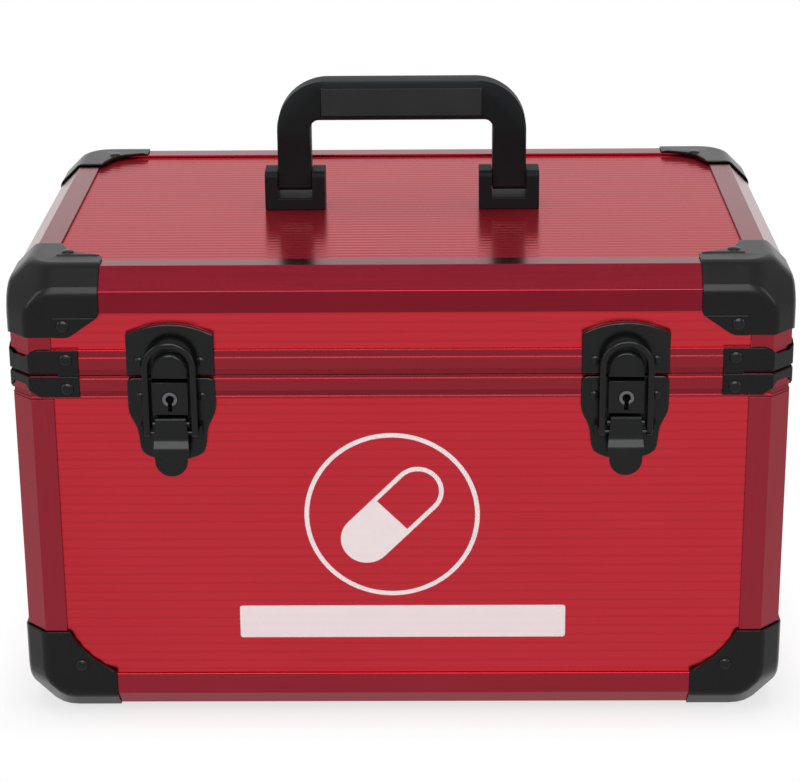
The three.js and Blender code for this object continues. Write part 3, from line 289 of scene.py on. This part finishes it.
def anodised(name, colours, streak, roughness, oxide, shaded=None, metal=1.0, edge=(1, 1, 1)):
    """Anodised aluminium between two reds, with fine marks along the stock.

    What shaded returns is the share of painted shade at a place in a groove, where the colour is
    mixed towards a dark red.
    Edge is the tint of the metal where it is seen at a slant.
    """
    deep, light = colours
    material, tree, shader = new_material(
        name, Metallic=metal, Specular_Tint=(*edge, 1.0),
        Coat_Weight=oxide, Coat_Roughness=OXIDE_ROUGHNESS, Coat_IOR=OXIDE_IOR)
    place = add_node(tree, "ShaderNodeTexCoord").outputs["Object"]
    marks = noise_at(tree, place, MARK_MM, streak, detail=4.0)
    clouds = noise_at(tree, place, CLOUD_MM, detail=2.0)
    mixed = add_node(tree, "ShaderNodeMix", {"data_type": "FLOAT"},
                     {"Factor": CLOUD_SHARE, "A": marks, "B": clouds})
    colour = add_node(tree, "ShaderNodeMix", {"data_type": "RGBA"},
                      {"Factor": mixed, "A": to_linear(deep), "B": to_linear(light)})
    # Painted shade: the colour turns towards the dark red by the share that shaded gives.
    if shaded:
        colour = add_node(tree, "ShaderNodeMix", {"data_type": "RGBA"},
                          {"Factor": shaded(tree, place), "A": colour, "B": to_linear(GROOVE_PAINTED_SHADE)})
    tree.links.new(colour.outputs["Result"], shader.inputs["Base Color"])
    rough = add_node(tree, "ShaderNodeMapRange", None,
                     {"Value": marks, "To Min": roughness - 0.05, "To Max": roughness + 0.06})
    tree.links.new(rough.outputs[0], shader.inputs["Roughness"])
    bump = add_node(tree, "ShaderNodeBump", None,
                    {"Strength": MARK_STRENGTH, "Distance": MARK_DEPTH, "Height": marks})
    tree.links.new(bump.outputs[0], shader.inputs["Normal"])
    return material


# %% Boards
# Painted shade in the boards' grooves: RIB_SHADE is its share at a groove's middle.
RIB_PITCH, RIB_GROOVE = 5.0 * MM, 2.4 * MM
RIB_SHADE = 0.12


def ribs(node_name, axis):
    """The painted shade of a board's grooves, which run 5 mm apart and are centred on the board."""
    low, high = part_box(node_name)
    number = math.floor((high[axis] - low[axis] - RIB_GROOVE) / RIB_PITCH)
    first = (low[axis] + high[axis] - (number - 1) * RIB_PITCH) / 2

    def shaded(tree, place):
        split = add_node(tree, "ShaderNodeSeparateXYZ", None, {"Vector": place})
        along = add_node(tree, "ShaderNodeMath", {"operation": "SUBTRACT"},
                         {0: split.outputs["XYZ"[axis]], 1: first})
        from_groove = add_node(tree, "ShaderNodeMath", {"operation": "PINGPONG"},
                               {0: along, 1: RIB_PITCH / 2})
        return add_node(tree, "ShaderNodeMapRange", {"interpolation_type": "SMOOTHSTEP"},
                        {"Value": from_groove, "From Max": RIB_GROOVE / 2,
                         "To Min": RIB_SHADE, "To Max": 0.0})

    return shaded


ALONG_X, ALONG_Y, ALONG_Z = (60, 1, 1), (1, 60, 1), (1, 1, 60)
BOARD = ("b0262f", "be303b")
BOARD_ROUGHNESS, BOARD_OXIDE = 0.26, 0.06

# Ribbed boards: rolled sheet with shallow grooves, so its red is bright and its sheen is broad.
board_front = anodised("anodised_ribbed_red", BOARD, ALONG_X, BOARD_ROUGHNESS, BOARD_OXIDE,
                       ribs("back_panel", 2))
board_side = anodised("anodised_ribbed_red_side", BOARD, ALONG_Y, BOARD_ROUGHNESS, BOARD_OXIDE,
                      ribs("left_panel", 2))
board_lid = anodised("anodised_ribbed_red_lid", BOARD, ALONG_X, BOARD_ROUGHNESS, BOARD_OXIDE,
                     ribs("lid_front_panel", 2))
board_lid_side = anodised("anodised_ribbed_red_lid_side", BOARD, ALONG_Y, BOARD_ROUGHNESS,
                          BOARD_OXIDE, ribs("lid_left_panel", 2))

# The top board is seen at a slant. Its thicker dyed layer scatters part of the light, so it is
# part metal, and a tint keeps its slanting reflections of the white room rosy instead of white.
TOP_BOARD, TOP_METAL, TOP_EDGE = ("a3222b", "b02d37"), 0.6, (0.8, 0.55, 0.58)
TOP_ROUGHNESS, TOP_OXIDE = 0.18, 0.0
board_top = anodised("anodised_ribbed_red_top", TOP_BOARD, ALONG_X, TOP_ROUGHNESS, TOP_OXIDE,
                     ribs("top_panel", 1), TOP_METAL, TOP_EDGE)
print("board finishes:", [m.name for m in bpy.data.materials if "ribbed" in m.name])


# %% Rails and closing frames
SEAM = 192.0 * MM
FLUTE_BLUR = 0.3 * MM
# Painted shade in the flutes and over the seam: each row gives a band and its share of shade.
FRAME_FLUTES = ((-9.8 * MM, 1.5 * MM, 0.3), (0.8 * MM, 2.5 * MM, 0.22), (0.0, 0.6 * MM, 0.6),
                (11.1 * MM, 1.5 * MM, 0.12))  # middle over the seam, half width, shade
# Painted shadow inside the brackets' slits, on the frame ends beyond SLIT_FROM.
SLIT_FROM, SLIT_TOP, SLIT_SPARE = 174.0 * MM, 1.9 * MM, 0.2 * MM


def frame_grooves(tree, place):
    """The painted shade of the closing frames' flutes, of the seam, and of the slits in the
    brackets.
    """
    split = add_node(tree, "ShaderNodeSeparateXYZ", None, {"Vector": place})
    out = add_node(tree, "ShaderNodeMath", {"operation": "ABSOLUTE"}, {0: split.outputs["X"]})
    beyond = add_node(tree, "ShaderNodeMath", {"operation": "GREATER_THAN"}, {0: out, 1: SLIT_FROM})
    within = add_node(tree, "ShaderNodeMath", {"operation": "COMPARE"},
                      {0: split.outputs["Z"], 1: SEAM + SLIT_TOP / 2, 2: SLIT_TOP / 2 + SLIT_SPARE})
    shade = add_node(tree, "ShaderNodeMath", {"operation": "MULTIPLY"}, {0: beyond, 1: within})
    for middle, half, depth in FRAME_FLUTES:
        apart = outside_box(tree, place, (0, 0, SEAM + middle), (ANY, ANY, half - FLUTE_BLUR))
        band = add_node(tree, "ShaderNodeMapRange", None,
                        {"Value": apart, "From Max": 2 * FLUTE_BLUR,
                         "To Min": depth, "To Max": 0.0})
        shade = add_node(tree, "ShaderNodeMath", {"operation": "MAXIMUM"}, {0: shade, 1: band})
    return shade


# Rails and posts: extrusions, drawn through a die, which leaves them smoother than the boards.
# Their oxide takes more dye, so they are a deeper red with a narrower sheen.
# The posts and the bottom rails get lighter reds than the other rails: painted light, standing in
# for the brighter light on them.
RAIL, PAINTED_LIGHT_RAIL, FRAME = ("701320", "801828"), ("82202b", "922a35"), ("812029", "8d2731")
RAIL_ROUGHNESS, RAIL_OXIDE = 0.2, 0.08
rail_across = anodised("anodised_rail_red", RAIL, ALONG_X, RAIL_ROUGHNESS, RAIL_OXIDE)
rail_along = anodised("anodised_rail_red_side", RAIL, ALONG_Y, RAIL_ROUGHNESS, RAIL_OXIDE)
rail_upright = anodised("anodised_rail_red_post", PAINTED_LIGHT_RAIL, ALONG_Z, RAIL_ROUGHNESS, RAIL_OXIDE)
# The bottom rails' lower faces mirror the floor at a slant, and a tint keeps them from paling.
BASE_OXIDE, BASE_EDGE = 0.03, (0.85, 0.65, 0.68)
rail_base = anodised("anodised_rail_red_base", PAINTED_LIGHT_RAIL, ALONG_X, RAIL_ROUGHNESS, BASE_OXIDE,
                     edge=BASE_EDGE)
# Closing frames: fluted extrusions. Little light gets into a flute, so it looks darker. That shade
# is painted into the colour, as is the shade in the seam and inside the brackets' slits.
FRAME_ROUGHNESS, FRAME_OXIDE = 0.22, 0.06
frame_red = anodised("anodised_frame_red", FRAME, ALONG_X, FRAME_ROUGHNESS, FRAME_OXIDE,
                     frame_grooves)
print("flutes on the closing frames:", len(FRAME_FLUTES))


# %% [markdown]
# ## The print
# The front board carries a white silk-screened print. Here it is a generic one: a ring with a
# capsule in it, and a plain strip to write on. It is worked out from distances on the board in
# the shader, so its edges stay sharp at any size.

# %% Print on the front board
PRINT_EDGE = 0.12 * MM
PRINT_LINE = 2.4 * MM
RING_CENTRE, RING_RADIUS = (-5.0 * MM, 0, 114.0 * MM), 44.5 * MM
CAPSULE_HALF, CAPSULE_RADIUS, CAPSULE_TURN = 19.0 * MM, 13.5 * MM, math.radians(45)
STRIP_CENTRE, STRIP_ROUND = (0, 0, 53.3 * MM), 1.5 * MM
STRIP_HALF = (86.0 * MM - STRIP_ROUND, ANY, 9.2 * MM - STRIP_ROUND)


def ink_within(tree, distance, limit):
    """1 where a distance is under its limit and 0 beyond it, with a narrow soft edge."""
    return add_node(tree, "ShaderNodeMapRange", None,
                    {"Value": distance, "From Min": limit + PRINT_EDGE,
                     "From Max": limit - PRINT_EDGE})


def ink_line(tree, distance, middle):
    """Ink in a line, along whose middle a distance has one value."""
    off = add_node(tree, "ShaderNodeMath", {"operation": "SUBTRACT"}, {0: distance, 1: middle})
    off = add_node(tree, "ShaderNodeMath", {"operation": "ABSOLUTE"}, {0: off})
    return ink_within(tree, off, PRINT_LINE / 2)


def print_mask(tree, place):
    """The share of print ink at a place on the front board."""
    ring = ink_line(tree, outside_box(tree, place, RING_CENTRE, (0, ANY, 0)), RING_RADIUS)
    centred = add_node(tree, "ShaderNodeVectorMath", {"operation": "SUBTRACT"},
                       {0: place, 1: RING_CENTRE})
    turned = add_node(tree, "ShaderNodeMapping", None,
                      {"Vector": centred, "Rotation": (0, CAPSULE_TURN, 0)})
    from_core = outside_box(tree, turned, (0, 0, 0), (CAPSULE_HALF, ANY, 0))
    outline = ink_line(tree, from_core, CAPSULE_RADIUS - PRINT_LINE / 2)
    split = add_node(tree, "ShaderNodeSeparateXYZ", None, {"Vector": turned})
    lower_half = ink_within(tree, split.outputs["X"], 0)
    full_half = add_node(tree, "ShaderNodeMath", {"operation": "MULTIPLY"},
                         {0: ink_within(tree, from_core, CAPSULE_RADIUS), 1: lower_half})
    strip = ink_within(tree, outside_box(tree, place, STRIP_CENTRE, STRIP_HALF), STRIP_ROUND)
    marks = ring
    for mark in (outline, full_half, strip):
        marks = add_node(tree, "ShaderNodeMath", {"operation": "MAXIMUM"}, {0: marks, 1: mark})
    return marks


# Silk-screen ink: a thick matt white with a breath of the red below, which hides the metal.
printed_panel = anodised("anodised_ribbed_red_printed", BOARD, ALONG_X, BOARD_ROUGHNESS,
                         BOARD_OXIDE, ribs("front_panel", 2))
print_tree = printed_panel.node_tree
print_place = add_node(print_tree, "ShaderNodeTexCoord").outputs["Object"]
ink = add_node(print_tree, "ShaderNodeBsdfPrincipled", None,
               {"Base Color": to_linear("efe3e5"), "Roughness": 0.45, "Specular IOR Level": 0.35})
inked = add_node(print_tree, "ShaderNodeMixShader", None,
                 {0: print_mask(print_tree, print_place),
                  1: print_tree.nodes["Principled BSDF"], 2: ink})
print_tree.links.new(inked.outputs[0], print_tree.nodes["Material Output"].inputs["Surface"])
print("print: ring", round(2 * RING_RADIUS / MM), "mm across, in", len(print_tree.nodes), "nodes")


# %% [markdown]
# ## Black pieces, lock and lining
# Plastic, rubber, paint and felt are all dark and no metal, so one finish with other numbers
# serves them: two close colours in soft clouds, and a fine grain in the bump. What tells them
# apart is the gloss and the size of the grain.

# %% Dark finishes
BLACK_CLOUD_MM = 25
GRAIN_DEPTH = 0.1 * MM


def grained(name, deep, light, grain_mm, roughness, bump_strength, specular):
    """A dark finish between two colours, with a fine grain."""
    material, tree, shader = new_material(name, Specular_IOR_Level=specular)
    place = add_node(tree, "ShaderNodeTexCoord").outputs["Object"]
    grain = noise_at(tree, place, grain_mm, detail=2.0)
    clouds = noise_at(tree, place, BLACK_CLOUD_MM)
    colour = add_node(tree, "ShaderNodeMix", {"data_type": "RGBA"},
                      {"Factor": clouds, "A": to_linear(deep), "B": to_linear(light)})
    tree.links.new(colour.outputs["Result"], shader.inputs["Base Color"])
    rough = add_node(tree, "ShaderNodeMapRange", None,
                     {"Value": clouds, "To Min": roughness - 0.05, "To Max": roughness + 0.05})
    tree.links.new(rough.outputs[0], shader.inputs["Roughness"])
    bump = add_node(tree, "ShaderNodeBump", None,
                    {"Strength": bump_strength, "Distance": GRAIN_DEPTH, "Height": grain})
    tree.links.new(bump.outputs[0], shader.inputs["Normal"])
    return material


# ABS: moulded in a smooth steel mould, near black, with a soft sheen on its rounded edges. Its
# real grain, under 0.1 mm, wouldn't show, so it is drawn coarser. That holds for all of these.
abs_black = grained("abs_black_corner", "0b0b0c", "111112", 0.7, 0.28, 0.1, 0.16)
# Nylon: moulded with a sparked, matt surface, which looks a little greyer and nearly flat.
nylon_black = grained("nylon_black_handle", "1b1e1f", "222627", 0.6, 0.4, 0.1, 0.02)
# Rubber: a dull, rough strip on the handle, greyer than the nylon round it.
grip_rubber = grained("rubber_grip", "2b3031", "363b3c", 0.5, 0.55, 0.25, 0.02)
# Stove paint on pressed steel: it flows out smooth, so edges catch small bright highlights.
painted_steel = grained("painted_steel_black", "0a0b0c", "101112", 0.9, 0.2, 0.04, 0.2)
# Felt: pressed fibres, without any gloss and with a lumpy surface.
felt = grained("felt_lining", "242427", "333338", 0.4, 0.95, 1.0, 0.1)
dark_finishes = (abs_black, nylon_black, grip_rubber, painted_steel, felt)
print("dark finishes:", [finish.name for finish in dark_finishes])

# %% Lock
ZINC_GRAIN_MM = 0.6

# Zinc: a die-cast plug, blackened in a bath, which leaves a dull grey metal in small patches.
lock_zinc, lock_tree, lock_shader = new_material("blackened_zinc", Metallic=1.0, Roughness=0.35)
lock_place = add_node(lock_tree, "ShaderNodeTexCoord").outputs["Object"]
lock_colour = add_node(lock_tree, "ShaderNodeMix", {"data_type": "RGBA"},
                       {"Factor": noise_at(lock_tree, lock_place, ZINC_GRAIN_MM),
                        "A": to_linear("505052"), "B": to_linear("707074")})
lock_tree.links.new(lock_colour.outputs["Result"], lock_shader.inputs["Base Color"])
# Inside the keyhole the zinc gets no light, so its faces there get a plain dark colour without a
# highlight: painted shade.
keyhole_painted_shade = new_material("painted_shade_in_keyhole", Roughness=0.8, Specular_IOR_Level=0.05,
                            Base_Color=to_linear("050505"))[0]
print("lock finishes:", lock_zinc.name, keyhole_painted_shade.name)


# %% Give the frame's nodes their finishes
def finish_for(name):
    """The finish of a node, from its name."""
    if name == "front_panel":
        return printed_panel
    if name == "top_panel":
        return board_top
    sideways = "left" in name or "right" in name
    if name.endswith("panel"):
        if name.startswith("lid"):
            return board_lid_side if sideways else board_lid
        return board_side if sideways else board_front
    if name.endswith("post"):
        return rail_upright
    if name.endswith("rail"):
        if sideways:
            return rail_along
        return rail_base if "bottom" in name else rail_across
    for word, finish in (("closing_frame", frame_red), ("corner", abs_black),
                         ("bracket", abs_black), ("handle_grip", grip_rubber),
                         ("handle", nylon_black), ("plug", lock_zinc), ("lining", felt)):
        if word in name:
            return finish
    return painted_steel


def dress(piece, material):
    """Gives a mesh one material on every face."""
    piece.data.materials.clear()
    piece.data.materials.append(material)
    for face in piece.data.polygons:
        face.material_index = 0


for name, node in nodes.items():
    dress(node, finish_for(name))
print("finishes on the frame:", len({finish_for(name).name for name in nodes}))


# %% [markdown]
# ## Smooth moulded and pressed pieces
# The frame's solids have flat facets. A moulded corner, a handle or a pressed plate has small
# rounded edges that catch the light, so each gets a dressed copy: its mesh is merged, its flat
# faces are dissolved to clean outlines, its sharp edges are bevelled, and it is shaded smooth.
# Two pieces are shaped a little more first. The handle's front and back faces leave a wide
# crescent round its elbows, and the base corners' free edges are drawn in towards the boards.

# %% Shape the handle's elbows and the base corners' flaps
ELBOW_RADIUS, ELBOW_EDGE = 27.0 * MM, 2.8 * MM
ELBOW_BAND = 0.8
CRESCENT, CRESCENT_DEPTH = 6.5 * MM, 0.2
FLAP_START, FLAP_TUCK = 24.0 * MM, 1.6 * MM


def widen_elbows(sketch):
    """Draws the front and back faces in at the handle's elbows, which leaves a wide crescent."""
    low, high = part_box("handle_body")
    middle = (low + high) / 2
    for vert in sketch.verts:
        across = abs(vert.co.x - middle.x) - (high.x - middle.x - ELBOW_RADIUS)
        up = vert.co.z - (high.z - ELBOW_RADIUS)
        reach = math.hypot(across, up)
        if across < 0 or up < 0 or reach < ELBOW_RADIUS * ELBOW_BAND:
            continue
        share = math.sin(2 * math.atan2(up, across))
        inset = (ELBOW_RADIUS - reach) / ELBOW_EDGE
        new_reach = reach - CRESCENT * share * inset
        side = 1 if vert.co.x > middle.x else -1
        vert.co.x += side * across * (new_reach / reach - 1)
        vert.co.z += up * (new_reach / reach - 1)
        vert.co.y += (middle.y - vert.co.y) * CRESCENT_DEPTH * share * (1 - inset)


def tuck_flaps(sketch):
    """Draws the curved edge of a base corner's flaps in towards the boards, which lie deeper."""
    for vert in sketch.verts:
        side_room = half_width - abs(vert.co.x - case_middle.x)
        front_room = half_depth - abs(vert.co.y - case_middle.y)
        if vert.co.z < CORNER_WALL + FLAP_START:
            continue
        if front_room < 0 and side_room > FLAP_START:
            vert.co.y -= math.copysign(FLAP_TUCK, vert.co.y - case_middle.y)
        if side_room < 0 and front_room > FLAP_START:
            vert.co.x -= math.copysign(FLAP_TUCK, vert.co.x - case_middle.x)


print("crescent:", round(CRESCENT / MM, 1), "mm, tuck:", round(FLAP_TUCK / MM, 1), "mm")


# %% [markdown]
# On the moulded corners the outward edges between their broad faces are rounded wide, as in the
# mould, and the rims of their flaps only a little. A bevel weight on each edge says which is
# which. A second merge takes up the slivers that wide bevels would fold over.

# %% A helper for dressed copies
WIDE_TURN = 60
SAME_PLACE, SLIVER = 0.02 * MM, 0.55 * MM


def dressed_copy(name, edge_mm, segments=2, sharp=30, flat=1.0, shape_edit=None, wide_mm=0):
    """A copy of a node with its sharp edges rounded, which replaces the node.

    Sharp and flat are the angles, in degrees, over which an edge is bevelled and under which it
    is dissolved. Where wide_mm is given, only outward edges are rounded, and it is the width at
    those that turn by less than WIDE_TURN.
    """
    source = nodes[name]
    sketch = bmesh.new()
    sketch.from_mesh(source.data)
    for near in (SAME_PLACE, SLIVER) if wide_mm else (SAME_PLACE,):
        bmesh.ops.remove_doubles(sketch, verts=sketch.verts, dist=near)
        bmesh.ops.dissolve_limit(sketch, angle_limit=math.radians(flat), verts=sketch.verts,
                                 edges=sketch.edges, delimit=set())
    if shape_edit:
        shape_edit(sketch)
    if wide_mm:
        weight = sketch.edges.layers.float.new("bevel_weight_edge")
        for edge in sketch.edges:
            bend = math.degrees(edge.calc_face_angle_signed(0))
            if bend > sharp:
                edge[weight] = 1.0 if bend < WIDE_TURN else edge_mm / wide_mm
    mesh = bpy.data.meshes.new(name + "_dressed")
    sketch.to_mesh(mesh)
    sketch.free()
    piece = bpy.data.objects.new(name + "_dressed", mesh)
    bpy.context.scene.collection.objects.link(piece)
    dress(piece, finish_for(name))
    mesh.shade_smooth()
    mesh.set_sharp_from_angle(angle=math.radians(sharp))
    if edge_mm:
        bevel = piece.modifiers.new("edges", "BEVEL")
        bevel.width = (wide_mm or edge_mm) * MM
        bevel.segments = segments
        bevel.limit_method = "WEIGHT" if wide_mm else "ANGLE"
        bevel.angle_limit = math.radians(sharp)
        bevel.use_clamp_overlap = not wide_mm
    piece.modifiers.new("flat_faces", "WEIGHTED_NORMAL").keep_sharp = True
    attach(piece, source["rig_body"])
    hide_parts(name)
    return piece


# %% Make the dressed copies
# The first row with a word of a node's name says how that node is dressed.
DRESSING = (
    (("panel",), {"edge_mm": 0}),
    (("rail", "post", "closing_frame"), {"edge_mm": 0.15, "flat": 0.5}),
    (("bracket_",), {"edge_mm": 0.3}),
    (("base_corner",), {"edge_mm": 0.5, "segments": 4, "wide_mm": 2.6, "shape_edit": tuck_flaps}),
    (("corner_",), {"edge_mm": 0.5, "segments": 4, "wide_mm": 2.6}),
    (("handle_body",), {"edge_mm": 0.4, "flat": 0.3, "shape_edit": widen_elbows}),
    (("mount", "handle_grip"), {"edge_mm": 0.6, "flat": 0.3}),
    (("lever",), {"edge_mm": 0.4, "flat": 0.05}),
    (("catch", "latch_plate"), {"edge_mm": 0.25, "sharp": 48, "flat": 0.02}),
    (("latch", "plug"), {"edge_mm": 0, "sharp": 48, "flat": 0.02}),
    (("hinge",), {"edge_mm": 0.2}),
)
for name in nodes:
    for words, edges in DRESSING:
        if any(word in name for word in words):
            dressed_copy(name, **edges)
            break

# %% Paint shade into the keyholes
HOLLOW_DEPTH = 0.3 * MM
hollow_faces = 0
for side in ("left", "right"):
    plug = bpy.data.objects[side + "_lock_plug_dressed"].data
    plug.materials.append(keyhole_painted_shade)
    plug_face = min(vert.co.y for vert in plug.vertices)
    for face in plug.polygons:
        if face.center.y > plug_face + HOLLOW_DEPTH:
            face.material_index = 1
            hollow_faces += 1
print("dark faces in the keyholes:", hollow_faces)


# %% [markdown]
# ## Rivets
# Each corner, bracket and latch plate is held by dome-headed rivets. One head is a quarter of an
# ellipse, spun about its axis. All rivets of one kind on a body are drawn into one mesh.

# %% Helpers for rivets
RIVET_RADIUS, SMALL_RIVET = 3.4 * MM, 2.5 * MM
PROFILE_STEPS, SPIN_STEPS = 6, 24
POLE_MERGE = 0.005 * MM


def add_rivet(sketch, place, outward, radius, rise):
    """One domed head on a face, spun about the direction that the face looks in."""
    head = bmesh.new()
    angles = [math.radians(90) * step / PROFILE_STEPS for step in range(PROFILE_STEPS + 1)]
    profile = [head.verts.new((radius * math.cos(a), 0, rise * math.sin(a))) for a in angles]
    edges = [head.edges.new(pair) for pair in zip(profile, profile[1:])]
    bmesh.ops.spin(head, geom=profile + edges, cent=(0, 0, 0), axis=(0, 0, 1),
                   angle=math.tau, steps=SPIN_STEPS, use_merge=True)
    facing = Vector(outward).to_track_quat("Z", "Y").to_matrix().to_4x4()
    bmesh.ops.transform(head, matrix=Matrix.Translation(place) @ facing, verts=head.verts)
    spare = bpy.data.meshes.new("rivet_head")
    head.to_mesh(spare)
    head.free()
    sketch.from_mesh(spare)
    bpy.data.meshes.remove(spare)


def rivet_row(name, body, rivets):
    """One mesh with a rivet at each place, given as place, direction, radius and rise."""
    sketch = bmesh.new()
    for rivet in rivets:
        add_rivet(sketch, *rivet)
    bmesh.ops.remove_doubles(sketch, verts=sketch.verts, dist=POLE_MERGE)
    bmesh.ops.recalc_face_normals(sketch, faces=sketch.faces)
    mesh = bpy.data.meshes.new(name)
    sketch.to_mesh(mesh)
    sketch.free()
    mesh.materials.append(painted_steel)
    mesh.shade_smooth()
    piece = bpy.data.objects.new(name, mesh)
    bpy.context.scene.collection.objects.link(piece)
    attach(piece, body)
    print(name, "holds", len(rivets), "rivets")


def wall_rivets(height, inset, proud, rise, side_rise):
    """Rivets at one height on both walls of each of the four corners."""
    rivets = []
    for sx in (-1, 1):
        for sy in (-1, 1):
            front = heart + Vector((sx * (half_width - inset), sy * (half_depth + proud), height))
            rivets.append((front, (0, sy, 0), RIVET_RADIUS, rise))
            side = heart + Vector((sx * (half_width + proud), sy * (half_depth - inset), height))
            rivets.append((side, (sx, 0, 0), RIVET_RADIUS, side_rise))
    return rivets


# %% Rivets on the corners
heart = Vector((case_middle.x, case_middle.y, CORNER_WALL))
CORNER_PROUD, TUCK_AT_RIVET = 2.1 * MM, 0.6 * MM
CORNER_RIVET_IN = 29.0 * MM
LID_RIVETS_AT, LID_TOP, BASE_RIVETS_AT = 217.8 * MM, 246.0 * MM, 27.7 * MM
RISE, SIDE_RISE, TOP_RISE = 1.4 * MM, 0.9 * MM, 1.1 * MM
lid_rivets = wall_rivets(LID_RIVETS_AT, CORNER_RIVET_IN, CORNER_PROUD, RISE, SIDE_RISE)
for sx in (-1, 1):
    for sy in (-1, 1):
        top = Vector((sx * (half_width - CORNER_RIVET_IN), sy * (half_depth - CORNER_RIVET_IN),
                      LID_TOP + CORNER_PROUD))
        lid_rivets.append((heart + top, (0, 0, 1), RIVET_RADIUS, TOP_RISE))
rivet_row("lid_corner_rivets", "lid", lid_rivets)
base_rivets = wall_rivets(BASE_RIVETS_AT, CORNER_RIVET_IN, CORNER_PROUD - TUCK_AT_RIVET,
                          RISE, SIDE_RISE)
rivet_row("base_corner_rivets", "base", base_rivets)

# %% Rivets on the brackets and latch plates
BRACKET_RIVET_IN, BRACKET_PROUD, BRACKET_RISE = 29.5 * MM, 1.1 * MM, 1.3 * MM
UPPER_AT, LOWER_AT = 199.5 * MM, 183.8 * MM
LATCH_PLACES = (-117.2 * MM, 114.7 * MM)
LATCH_RIVET_OUT, LATCH_PROUD, LATCH_RISE = 15.7 * MM, 2.3 * MM, 1.2 * MM
CATCH_RIVETS_AT, PLATE_RIVETS_AT = 199.0 * MM, 180.0 * MM
for body, height, latch_height in (("lid", UPPER_AT, CATCH_RIVETS_AT),
                                   ("base", LOWER_AT, PLATE_RIVETS_AT)):
    rivets = wall_rivets(height, BRACKET_RIVET_IN, BRACKET_PROUD, BRACKET_RISE, BRACKET_RISE)
    for x in LATCH_PLACES:
        for sx in (-1, 1):
            spot = Vector((x + sx * LATCH_RIVET_OUT, -half_depth - LATCH_PROUD, latch_height))
            rivets.append((heart + spot, (0, -1, 0), SMALL_RIVET, LATCH_RISE))
    rivet_row(body + "_bracket_rivets", body, rivets)
